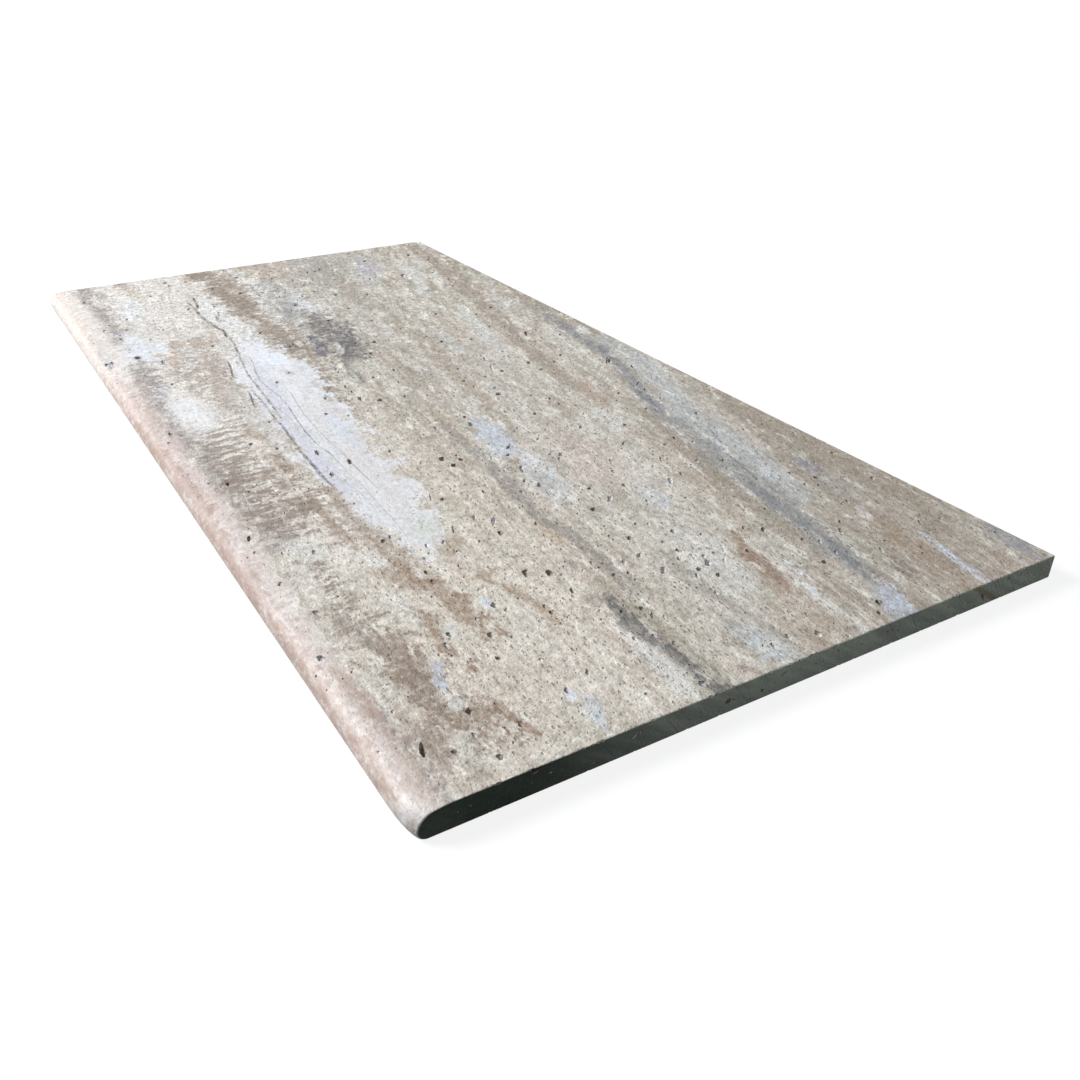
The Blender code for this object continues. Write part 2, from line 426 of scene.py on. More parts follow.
# Streaks and patches of the deck side, towards the back
DECK_BACK_FEATURES: tuple[Feature, ...] = (
    band((305, 141, 6), (280, 139, 6), (240, 134, 5), (215, 130, 6), (190, 125, 8), (165, 120, 8),
         (140, 116, 6), (110, 111, 7), (85, 107, 6), (60, 101, 6), (30, 93, 5), (0, 88, 5),
         (-40, 83, 4), (-75, 84, 3), colour=(160, 146, 132), strength=0.85, blotchy=0.35),
    band((180, 150, 4), (130, 146, 6), (100, 142, 5), colour=(164, 153, 140), strength=0.7),
    band((305, 118, 3), (270, 108, 5), (235, 98, 5), (205, 86, 4), colour=SAND, strength=0.6),
    band((258, 111, 3), (215, 104, 7), (185, 95, 5), (170, 88, 3), colour=(214, 214, 208),
         strength=0.85, blotchy=0.4),
    band((272, 122, 1), (256, 116, 2), (244, 112, 1), colour=SHELL, edge=Edge.CRISP),
    patch(200, 143, 20, 5, (192, 191, 178), turn=12),
    patch(172, 144, 15, 4, (212, 204, 196), turn=14),
    band((165, 140, 3), (140, 133, 5), (115, 128, 6), (92, 124, 5), colour=(208, 204, 198),
         strength=0.7),
    patch(248, 78, 27, 9, (190, 188, 198), turn=15),
    patch(262, 44, 44, 13, (160, 156, 150), turn=14, blotchy=0.6),
    patch(215, 50, 20, 6, (164, 158, 149), turn=14, strength=0.65),
    patch(290, 18, 24, 12, (188, 171, 160), turn=6, strength=0.7),
    patch(285, 1, 20, 7, (182, 165, 153), turn=4, strength=0.7),
    band((240, 47, 2), (205, 42, 5), (170, 40, 4), (140, 46, 3), (115, 44, 2),
         colour=(170, 160, 148)),
    patch(172, 92, 11, 4, (218, 218, 211), turn=12),
    patch(150, 20, 22, 6, (174, 166, 149), turn=10, strength=0.7),
    band((305, 35, 2), (285, 34, 1.5), colour=GREY, strength=0.7),
    patch(276, 72, 7, 3, GREY, turn=14, strength=0.7),
    fleck(120, 66, 8, 1.8, MILK, turn=22, blotchy=0.2),
    fleck(138, 41, 5, 2.6, CHALK, turn=18, blotchy=0.2),
    patch(75, 68, 34, 7, (190, 177, 163), turn=10, strength=0.7),
    patch(85, 86, 42, 6, (210, 210, 202), turn=12, strength=0.7),
    patch(45, 76, 38, 7, (208, 205, 199), turn=14, strength=0.7),
    patch(62, 54, 24, 5, (192, 193, 189), turn=8, strength=0.7),
    band((62, 43, 3), (20, 33, 5), (-12, 29, 4), (-45, 24, 2), colour=FAWN, strength=0.65),
    patch(38, 17, 14, 4, (216, 215, 210), turn=10),
)

# Streaks and patches of the deck side, towards the front
DECK_FRONT_FEATURES: tuple[Feature, ...] = (
    band((92, 147, 3), (60, 138, 4), (30, 135, 5), (0, 132, 6), (-20, 127, 5), (-45, 119, 5),
         (-65, 113, 5), (-90, 104, 5), (-115, 99, 4), colour=GREY, strength=0.85, blotchy=0.4),
    band((70, 142, 1.5), (30, 134, 2.5), (0, 131, 2), (-35, 124, 2.5), (-65, 112, 3),
         (-95, 103, 2.5), colour=SLATE, strength=0.8, blotchy=0.7),
    fleck(37, 143, 8, 4.5, CHALK, turn=12, blotchy=0.2),
    band((22, 147, 3), (-10, 143, 6), (-50, 134, 8), (-80, 124, 8), (-110, 113, 9), (-145, 108, 11),
         (-180, 104, 8), (-215, 98, 4), colour=(194, 197, 196), strength=0.85, blotchy=0.3),
    band((-108, 101, 4), (-130, 97, 6), (-160, 90, 8), (-200, 86, 9), (-240, 78, 7), (-270, 71, 6),
         (-305, 61, 5), colour=(152, 152, 151), strength=0.85, blotchy=0.35),
    band((-190, 86, 3), (-215, 82, 4), (-245, 77, 3), (-275, 70, 2), colour=(132, 133, 136),
         blotchy=0.6),
    band((-95, 94, 3), (-130, 86, 4), (-160, 80, 4), (-200, 76, 3), (-238, 70, 3),
         colour=(160, 149, 134)),
    crack((-128, 111, 0.6), (-145, 103, 0.9), (-152, 99, 1.3), (-165, 96, 0.8), (-178, 94, 0.6),
          colour=(130, 132, 142), strength=0.85, ragged=0.3, blotchy=0.3),
    fleck(-149, 101, 9, 1.8, MILK, turn=26, blotchy=0.3),
    patch(-182, 101, 9, 3.4, (218, 220, 221), turn=10, blotchy=0.3),
    patch(-188, 125, 12, 5, (142, 141, 150), turn=8, strength=0.85),
    patch(-208, 121, 20, 7, (164, 161, 155), turn=8, strength=0.7),
    band((-85, 151, 4), (-110, 147, 6), (-150, 143, 9), (-200, 140, 10), (-232, 139, 8),
         (-265, 130, 5), colour=(160, 148, 133), strength=0.8, blotchy=0.35),
    patch(-122, 138, 18, 3, (164, 153, 140), turn=8),
    band((-93, 135, 4), (-130, 127, 5), (-165, 121, 3), colour=(204, 196, 186), strength=0.7),
    patch(-297, 131, 9, 3, (160, 136, 117), turn=14),
    patch(-290, 148, 15, 4, (150, 155, 164), turn=10),
    fleck(-240, 110, 8, 2, MILK, turn=20, blotchy=0.3),
    patch(-272, 105, 36, 7, (166, 147, 128), turn=12, strength=0.7),
    band((-264, 119, 1.2), (-285, 114, 2.2), (-305, 109, 2.2), colour=ICE, edge=Edge.CRISP,
         strength=0.95, blotchy=0.85),
    patch(-279, 88, 6.5, 3.4, (122, 114, 104), turn=14, blotchy=0.2),
    patch(-275, 64, 11, 4, (208, 200, 185), turn=8),
    patch(-294, 66, 13, 5, ICE, turn=26, strength=0.85, blotchy=0.6),
    band((-220, 47, 1), (-232, 42, 3), (-246, 39, 4.5), (-258, 36, 4), (-268, 33, 1.5),
         colour=(150, 122, 101), strength=0.9, blotchy=0.6),
    fleck(-250, 51, 3.5, 1.8, MILK, turn=20, blotchy=0.1),
    fleck(-260, 49, 3, 2, MILK, turn=30, blotchy=0.1),
    fleck(-271, 44, 3.5, 2.2, MILK, turn=10, blotchy=0.1),
    patch(-240, 22, 46, 10, (218, 215, 209), turn=8),
    patch(-150, 43, 30, 7, (220, 217, 208), turn=12, strength=0.65),
    patch(-180, 38, 12, 6, (208, 212, 216), turn=14, strength=0.7),
    patch(-122, 36, 36, 16, (212, 197, 187), turn=12, strength=0.6),
    patch(-98, 55, 15, 7, (222, 220, 211), turn=14),
    patch(-62, 82, 26, 6, (186, 166, 149), turn=14, strength=0.7),
    patch(-90, 71, 17, 5, (216, 216, 209), turn=12, strength=0.7),
    band((-105, 76, 4), (-150, 69, 5), (-200, 60, 5), (-225, 52, 4), colour=(188, 173, 156),
         strength=0.65),
    patch(-285, 24, 24, 11, (184, 167, 148), turn=8, strength=0.7),
    band((-220, 9, 2), (-245, 7, 3), (-265, 8, 2.5), (-290, 12, 2), colour=(162, 157, 146)),
    patch(-290, 1, 19, 6, (200, 204, 207), turn=4),
    fleck(-82, 6, 27, 7.5, (204, 209, 219), turn=9, strength=0.85, blotchy=0.35),
    patch(-130, 4, 27, 8, (212, 214, 216), turn=10),
    patch(-55, -6, 27, 5, (184, 166, 145), turn=8, strength=0.7),
    band((-46, -8, 2), (-80, -11, 3), (-120, -14, 3.5), (-160, -18, 4), (-200, -17, 3.5),
         (-238, -19, 3), colour=(150, 142, 137), strength=0.8, blotchy=0.45),
)

# Streaks and patches from the middle to the nose, towards the back
NOSE_BACK_FEATURES: tuple[Feature, ...] = (
    band((305, -20, 3), (260, -17, 4), (230, -20, 4), (205, -21, 4), (185, -22, 3),
         colour=(216, 215, 211)),
    band((305, -40, 13), (285, -39, 12), (265, -35, 10), (240, -36, 14), (215, -38, 12),
         (195, -38, 12), (180, -37, 7), (165, -36, 3), (150, -37, 8), (135, -39, 13),
         (115, -39, 13), (100, -39, 9), (85, -36, 6), (65, -37, 5), (45, -40, 4), (25, -45, 4),
         (5, -44, 3), (-12, -45, 2), colour=(148, 133, 120), edge=Edge.CRISP, strength=0.95,
         ragged=0.7, blotchy=0.35, weave=Weave.CROSSED),
    patch(292, -44, 17, 7, (134, 121, 110), strength=0.8, weave=Weave.CROSSED),
    patch(248, -43, 15, 6, (130, 116, 102), strength=0.8, weave=Weave.CROSSED),
    patch(200, -34, 16, 6, (136, 124, 113), turn=4, strength=0.8, weave=Weave.CROSSED),
    patch(112, -38, 16, 7, (136, 124, 113), turn=4, strength=0.8, weave=Weave.CROSSED),
    patch(241, -33, 9, 3.6, (202, 194, 181), blotchy=0.3),
    fleck(107, -32, 6, 2, CHALK, turn=6, blotchy=0.2),
    crack((304, -22, 1), (294, -22, 1.6), (282, -22, 0.8), colour=GREY, strength=0.8),
    crack((250, -17, 0.6), (238, -18, 1.2), (224, -19, 0.6), colour=GREY, strength=0.8),
    band((255, -4, 5), (215, -8, 9), (180, -12, 9), (155, -14, 6), colour=(160, 161, 161),
         ragged=0.8, blotchy=0.7),
    patch(178, 1, 18, 7, (222, 223, 225), turn=8, strength=0.85, blotchy=0.45),
    patch(212, 6, 22, 5, (208, 209, 208), turn=8, strength=0.7),
    patch(188, -3, 4, 2.4, (128, 128, 132), turn=10, blotchy=0.2),
    patch(172, -15, 10, 3.6, (146, 145, 152), turn=6, strength=0.8),
    patch(140, -5, 28, 8, (126, 121, 116), turn=4, strength=0.9, ragged=0.7, blotchy=0.6,
          weave=Weave.CROSSED),
    patch(104, -7, 50, 14, SOOT, turn=10, strength=0.95, ragged=0.7, blotchy=0.6),
    patch(92, -6, 26, 8, (92, 89, 90), turn=14, strength=0.8, ragged=0.7, blotchy=0.6,
          weave=Weave.CROSSED),
    band((118, -19, 2), (100, -22, 4.5), (84, -26, 3), colour=(98, 98, 108), strength=0.85,
         blotchy=0.4),
    band((66, -15, 5), (45, -20, 4), (28, -22, 3), colour=(134, 132, 128), strength=0.8),
    fleck(92, -12, 12, 2.6, CHALK, turn=12),
    patch(50, -14, 12, 5, CREAM, turn=8, strength=0.7),
    patch(297, -101, 11, 6, (164, 149, 136), strength=0.85),
    patch(268, -99, 24, 5, (198, 188, 172), strength=0.7),
    patch(232, -108, 27, 7, (226, 230, 231), turn=6),
    patch(280, -121, 9, 4.4, (160, 149, 146), strength=0.85, blotchy=0.25),
    patch(246, -120.5, 7, 1.8, (150, 141, 138), strength=0.8, blotchy=0.3),
    patch(192, -120, 7, 4, (176, 162, 152), strength=0.85),
    patch(203, -114, 6, 3, (186, 180, 177), strength=0.7),
    band((305, -127, 4), (275, -131, 5), (255, -132, 5), (225, -130, 7), (200, -130, 7),
         (175, -131, 6), (157, -133, 4), colour=(152, 142, 138), strength=0.94, ragged=0.8),
    patch(212, -72, 10, 3, (196, 184, 172), turn=4, strength=0.7),
    patch(142, -84, 12, 7, (172, 156, 139), turn=4, strength=0.85, ragged=0.9),
    patch(152, -75, 11, 3, (188, 174, 163), turn=4, strength=0.8),
    patch(146, -99, 9, 5, (172, 152, 130), strength=0.8),
    band((132, -105, 1.4), (116, -109, 2.2), (104, -111, 1.2), colour=(198, 172, 146),
         strength=0.85),
    patch(62, -101, 80, 19, (168, 156, 147), strength=0.85, ragged=0.7, blotchy=0.9,
          weave=Weave.CROSSED),
    patch(88, -92, 30, 9, (172, 157, 146), turn=2, strength=0.85, ragged=0.9, blotchy=0.8),
    patch(52, -95, 18, 8, (182, 168, 157), blotchy=0.6),
    patch(147, -124, 28, 12, (224, 227, 234), turn=10, strength=0.9, ragged=0.8, blotchy=0.2,
          milky=True),
    patch(133, -128, 4.2, 2.8, (118, 111, 115), blotchy=0.1),
    patch(86, -129, 22, 7, (134, 127, 128), strength=0.88, ragged=0.7, weave=Weave.CROSSED),
    band((124, -128, 4), (95, -132, 7), (60, -134, 7), (40, -136, 6), (0, -136, 8), (-30, -134, 9),
         (-60, -132, 10), (-110, -131, 8), (-135, -130, 5), colour=(152, 143, 140), strength=0.9,
         ragged=0.7, blotchy=0.45, weave=Weave.CROSSED),
    band((100, -138, 2), (60, -140, 3), (20, -140, 3), (-20, -139, 3), colour=(190, 176, 172),
         strength=0.8, weave=Weave.CROSSED),
    patch(30, -123, 38, 9, (236, 236, 238), turn=-3, strength=0.94, ragged=0.9, weave=Weave.CROSSED,
          milky=True),
)

# The white lens and what lies round it
LENS_FEATURES: tuple[Feature, ...] = (
    band((238, -56, 3), (215, -57, 7), (190, -58, 8), (160, -58, 8), (130, -58, 9), (108, -60, 12),
         colour=(229, 228, 228), strength=0.85, ragged=0.8, blotchy=0.3),
    band((124, -60, 6), (108, -61, 14), (90, -62, 20), (65, -61, 24), (40, -64, 21), (20, -66, 21),
         (0, -66, 22), (-30, -69, 20), (-60, -72, 19), (-100, -73, 19), (-125, -77, 18),
         (-145, -75, 13), (-160, -74, 8), (-174, -76, 3), colour=MILK, edge=Edge.CRISP,
         strength=0.96, blotchy=0.3, milky=True),
    band((100, -70, 3), (60, -72, 5), (20, -78, 6), (-20, -82, 5), (-60, -84, 5), (-100, -86, 4),
         colour=(206, 207, 218), strength=0.7, ragged=0.9, milky=True),
    patch(-40, -56, 55, 5, (206, 196, 186), turn=4, strength=0.6, ragged=0.9, blotchy=0.8,
          weave=Weave.CROSSED),
    patch(-60, -66, 70, 6, (222, 214, 210), turn=4, strength=0.6, ragged=0.8, blotchy=0.6,
          milky=True),
    patch(92, -55, 17, 7, (234, 240, 250), turn=4, strength=0.8, blotchy=0.1, milky=True),
    patch(-30, -60, 22, 5, (216, 222, 234), turn=4, strength=0.7, blotchy=0.2, milky=True),
    patch(-150, -69, 12, 7, (216, 220, 213), turn=4, strength=0.7, blotchy=0.3),
    patch(63, -54, 4.5, 2.4, (168, 163, 158), turn=12),
    patch(13, -50, 5, 2, (164, 158, 151), turn=6),
    patch(36, -48, 6, 1.6, (176, 172, 168), turn=4, strength=0.6),
    crack((232, -69, 0.5), (215, -68, 0.8), (175, -68, 1.3), (150, -66, 0.8), (100, -73, 0.7),
          (60, -78, 0.5), (0, -82, 0.4), colour=(84, 78, 74), strength=0.95, ragged=0.4,
          blotchy=0.9),
    crack((242, -62, 0.5), (235, -62.5, 1.1), (222, -64, 0.5), colour=(110, 104, 98), strength=0.85,
          ragged=0.3, blotchy=0.4),
    crack((224, -64, 0.4), (219, -65, 1.1), (212, -66, 0.4), colour=(110, 104, 98), strength=0.85,
          ragged=0.3, blotchy=0.4),
    crack((198, -56, 0.4), (190, -58, 0.8), (184, -61, 1), (176, -62, 0.4), colour=(118, 112, 106),
          strength=0.8, ragged=0.4, blotchy=0.4),
    crack((100, -67, 0.4), (85, -69, 0.5), (60, -74, 0.4), (20, -73, 0.4), (-30, -77, 0.4),
          (-60, -76, 0.4), colour=(128, 129, 142), strength=0.9, ragged=0.3, blotchy=0.8),
    crack((30, -66, 0.3), (-20, -70, 0.3), (-60, -70, 0.3), (-100, -72, 0.3),
          colour=(156, 154, 158), ragged=0.2),
    crack((50, -78, 0.3), (20, -80, 0.4), (-5, -78, 0.3), (-20, -80, 0.3), colour=(160, 152, 160),
          strength=0.7, ragged=0.2),
    crack((40, -84, 0.4), (0, -85, 0.6), (-50, -88, 0.9), (-95, -90, 0.5), colour=(100, 98, 102),
          strength=0.95, ragged=0.4, blotchy=0.8),
    crack((-30, -75, 0.3), (-90, -77, 0.3), (-150, -79, 0.3), colour=(166, 164, 160), strength=0.6,
          ragged=0.3, blotchy=0.6),
    crack((98, -81, 0.5), (88, -83, 0.7), (72, -86, 0.4), colour=(112, 94, 78), strength=0.95,
          ragged=0.2, blotchy=0.2),
    crack((42, -86, 0.4), (33, -88, 0.7), (22, -90, 0.4), colour=(104, 94, 88), strength=0.95,
          ragged=0.2, blotchy=0.2),
    band((60, -92, 4), (0, -94, 5), (-40, -95, 4), colour=(206, 203, 198), strength=0.7,
         blotchy=0.6),
)

# Streaks and patches from the middle to the nose, towards the front
NOSE_FRONT_FEATURES: tuple[Feature, ...] = (
    band((4, -118, 6), (-25, -120, 14), (-60, -120, 20), (-95, -118, 22), (-120, -121, 18),
         (-150, -122, 7), (-180, -122, 6), (-215, -125, 7), (-250, -123, 8), (-292, -116, 8),
         colour=(148, 133, 121), strength=0.9, ragged=0.8, blotchy=0.9, weave=Weave.CROSSED),
    patch(-57, -101, 13, 4, (154, 133, 117), strength=0.85),
    patch(-103, -110, 10, 6, (136, 122, 108), strength=0.9),
    band((-10, -106, 0.8), (-60, -105, 1), (-95, -107, 0.8), colour=(216, 206, 194), ragged=0.6),
    patch(-18, -101, 12, 3, (172, 154, 136)),
    band((-92, -94, 3), (-130, -94, 4), (-155, -91, 5), (-176, -91, 5), colour=(160, 142, 126),
         strength=0.85, ragged=0.8, blotchy=0.45),
    band((-100, -104, 2), (-125, -104, 3.2), (-147, -102, 2), colour=(158, 138, 121),
         strength=0.85),
    band((-170, -99, 2), (-182, -95, 6), (-192, -90, 6), (-203, -86, 6), (-216, -84, 6),
         (-231, -83, 5), (-238, -83, 2), colour=UMBER, strength=0.9, ragged=0.8),
    band((-204, -103, 1.2), (-218, -100, 3.6), (-228, -102, 3), (-239, -101, 1.5), colour=UMBER,
         strength=0.9, ragged=0.8),
    patch(-247, -98.5, 7, 2.6, UMBER, turn=20, strength=0.9, ragged=0.7),
    band((-268, -103, 1.2), (-278, -101, 2.4), (-291, -98.5, 1), colour=(158, 133, 115),
         strength=0.85, blotchy=0.4),
    patch(-270, -112, 14, 6, (154, 134, 118), strength=0.88, ragged=0.8),
    patch(-238, -120, 23, 8, (144, 126, 111), strength=0.9, ragged=0.8, blotchy=0.45),
    patch(-205, -127, 19, 4, (154, 141, 130), turn=-8, strength=0.85),
    patch(-275, -130, 22, 7, (162, 145, 132), turn=-3, strength=0.8, ragged=0.8, blotchy=0.55),
    patch(-170, -66, 5, 8, (172, 154, 134), turn=-30, strength=0.85),
    patch(-195, -67, 2.6, 8, (176, 158, 137), strength=0.85),
    patch(-184, -70, 8, 5, (196, 182, 172), strength=0.7),
    band((-198, -67, 1.2), (-212, -61, 2.5), (-240, -58, 1.6), colour=(174, 155, 134),
         strength=0.85),
    patch(-237, -36, 6, 3.4, (160, 147, 139), turn=-20, strength=0.85),
    patch(-208, -30, 7, 2, (160, 156, 149), turn=2, strength=0.8),
    band((-225, -27, 3), (-265, -26, 4), (-305, -27, 3), colour=(160, 152, 136)),
    band((-238, -30, 1.5), (-252, -33, 4), (-265, -33, 4), (-275, -32, 3), (-290, -32, 2.5),
         (-305, -31, 3.5), colour=(94, 94, 94), strength=0.9),
    patch(-283, -40, 21, 5.5, (220, 219, 215), turn=2, blotchy=0.3),
    patch(-183, -24, 12, 4, (188, 168, 144), strength=0.7),
    patch(-163, -99, 10, 3.8, (233, 231, 225), blotchy=0.3),
    patch(-200, -105, 14, 4.4, (228, 226, 217), blotchy=0.4),
    patch(-225, -96, 6, 3.4, (222, 222, 217), blotchy=0.3),
    patch(-178, -112, 22, 5, (214, 208, 196)),
    fleck(-264, -114, 3.8, 3.6, (226, 224, 218), blotchy=0.1),
    patch(-249, -113, 10, 2.4, ICE, turn=14),
    patch(-287, -124, 7, 4, (222, 220, 210), blotchy=0.2),
    fleck(-214, -75, 3.8, 1.8, (224, 228, 240), turn=8, blotchy=0.1),
    fleck(-278, -78, 4.4, 2, (222, 227, 240), turn=4, blotchy=0.1),
    patch(-290, -76, 9, 2.6, (196, 203, 210), turn=8),
    patch(-140, -122, 12, 7, (224, 222, 216), turn=-30, strength=0.8, weave=Weave.CROSSED),
    patch(-165, -131, 16, 4, (220, 214, 207)),
    patch(-248, -131, 18, 3, (220, 214, 203), turn=-10),
)

# The rounded nose; its pale bands along the top are partly the stone's pale rim and partly painted
# highlight
NOSE_FEATURES: tuple[Feature, ...] = (
    # A pale band along the nose, partly painted highlight where the nose turns to the light.
    band((305, -156, 17), (130, -156, 17), (95, -156, 14.5), (-70, -156, 14), (-120, -156, 15.5),
         (-305, -156, 15.5), colour=SHELL, strength=0.95, ragged=0.22, blotchy=0.35, milky=True),
    band((120, -152, 8), (60, -150, 9), (-150, -149, 8), (-305, -148, 7), colour=(208, 190, 184),
         ragged=0.7, blotchy=0.9, weave=Weave.CROSSED),
    band((125, -160, 4), (60, -158, 7), (-60, -158, 8), (-160, -158, 7), (-305, -159, 6),
         colour=(170, 147, 136), edge=Edge.CLOUDY, strength=0.92, ragged=0.6),
    band((305, -159, 9), (130, -159, 9), colour=(200, 187, 179), edge=Edge.CLOUDY, strength=0.8,
         blotchy=0.4),
    # A thin paler line on the shoulder towards the back, partly painted highlight.
    band((300, -146, 2), (240, -150, 4), (190, -149, 3), colour=(240, 216, 206), strength=0.6,
         blotchy=0.6),
    patch(133, -147, 6, 2.4, SLATE, turn=-4, strength=0.9, blotchy=0.2),
    patch(150, -145, 12, 2.6, (196, 196, 202), blotchy=0.6),
    patch(60, -149, 44, 4, (212, 192, 186)),
    band((0, -145, 3), (-50, -145, 4), (-100, -144, 3), colour=(214, 196, 190), strength=0.8,
         weave=Weave.CROSSED),
    band((40, -156, 3), (-20, -154, 3), (-75, -151, 4), (-110, -153, 3), (-170, -157, 3),
         colour=(170, 143, 128), strength=0.85),
    patch(-150, -151.5, 42, 3.6, (178, 157, 149), strength=0.85, blotchy=0.4),
    patch(-278, -139.5, 28, 3.4, (154, 137, 128), strength=0.85),
    patch(-60, -151, 45, 3.6, (176, 156, 148), strength=0.85, blotchy=0.4),
    patch(-238, -142, 18, 3.4, (184, 163, 151), turn=-2, strength=0.85),
    band((-185, -151, 2), (-240, -152, 3), (-290, -153, 3), colour=(180, 157, 145), blotchy=0.6),
    patch(-285, -143, 16, 3, (206, 188, 176), strength=0.7),
)


# The largest pits of the top: y, x, length, width, and degrees that the front end swings
# towards the nose
PLACED_PITS: tuple[tuple[float, float, float, float, float], ...] = (
    (215, 95, 13, 3, 21), (173, -68, 20, 1.5, 1), (149, -67, 10, 2.4, 6), (118, -116, 7.5, 2.4, 5),
    (3, -34, 7, 2.8, 6), (-120, -1, 8, 1.9, 21), (-52, -82, 7, 2.1, 9), (-70, -72, 6.5, 2, 11),
    (134, -128, 5, 3.2, 1), (132, -147, 6.5, 2.6, 9), (-60, 3, 6, 2.6, 21), (295, -22, 12, 1.5, 2),
    (-30, 38, 5.5, 3, 60), (269, 125, 8.5, 2.4, 24), (52, 107, 10, 2.2, 30),
    (-90, -30, 5.5, 2.8, 28), (236, -63, 9, 2, 4), (188, -61, 8.5, 2, 7), (-167, 54, 7, 2, 36),
    (31, -88, 12, 1.2, 11), (88, -82, 11, 1.2, 9), (-159, -40, 8, 1.7, 30), (219, -65, 8, 1.7, 12),
    (133, -67, 12, 1.1, 3), (214, -116, 5.5, 2.2, 7), (5, 80, 5.4, 2.6, 37), (279, -70, 8, 1.8, 11),
    (-235, 20, 5.4, 2.2, 35), (-95, 6, 5.4, 2.2, 50), (8, 55, 10, 1.6, 17), (-152, -46, 5, 1.9, 34),
    (239, -18, 10, 1.4, 7), (-245, 18, 4.2, 2.4, 24), (109, -21, 10, 1.8, 0),
    (24, -34, 5.6, 2.2, 13), (-125, -54, 7, 1.5, 19), (187, -4, 5, 2.6, 40),
    (-96, -22, 3.6, 2.8, -5), (24, 59, 6, 2, 21), (-281, 147, 8, 2, 14), (15, -4, 5, 2, 13),
    (-216, -1, 4.2, 2.4, 50), (-157, -59, 8, 1.5, 23), (-139, -3, 4.8, 2.2, 30),
    (-231, 0, 5.6, 2.3, 36), (-16, 124, 11, 1.3, 38), (-69, -49, 4, 2.1, 19),
    (-274, -103, 9, 1.5, -5), (-157, 146, 8, 1.9, 17), (262, 34, 7, 1.8, 27),
    (66, 51, 5.4, 2.3, 31), (-3, 45, 4.4, 2.2, 3), (-204, -50, 6.4, 1.7, 32),
    (-221, 16, 3.7, 2.1, 16), (-56, -16, 6.2, 1.5, 13), (-119, -140, 5.5, 2.3, 13),
    (15, -34, 4.3, 2, 15), (191, -121, 5, 2.2, -13), (-33, 131, 7.2, 1.7, 30), (-67, 67, 5, 2.1, 2),
    (-188, -136, 4, 2.5, -3), (-146, 65, 7.5, 1.4, 31), (-293, 3, 3.9, 2, 22),
    (290, 102, 7.4, 1.8, 10), (-233, -102, 4.8, 2.2, 0), (-268, -32, 6.6, 1.7, 10),
    (-202, 4, 3.9, 2.2, 27), (-113, 20, 3.1, 2.2, 42), (221, 69, 7.2, 1.6, 27),
    (-272, -66, 4.2, 1.6, 29), (-227, -98, 4.5, 2.2, -10), (-103, 1, 3.2, 2.3, 42),
    (-50, 5, 3.8, 2.3, 4), (-277, -78, 4.9, 1.9, 12), (-132, -7, 3.7, 1.8, 27),
    (13, -51, 4.6, 2.1, 1), (216, -73, 5.3, 2, 22), (53, -28, 4.8, 2, 8), (-227, 12, 4, 2, 14),
    (35, 2, 4.5, 1.8, 21), (-223, -71, 3.2, 1.8, 43), (-121, 60, 4.2, 1.8, 36),
    (164, -122, 6.4, 1.2, 4), (-57, 117, 7.6, 1.6, 47), (62, -55, 4.2, 1.8, 31),
    (-102, -8, 4.9, 1.3, 19), (-255, -24, 4.5, 1.5, 35), (-161, -141, 3.8, 1.8, 35),
    (-55, 34, 5, 1.7, 13),
)


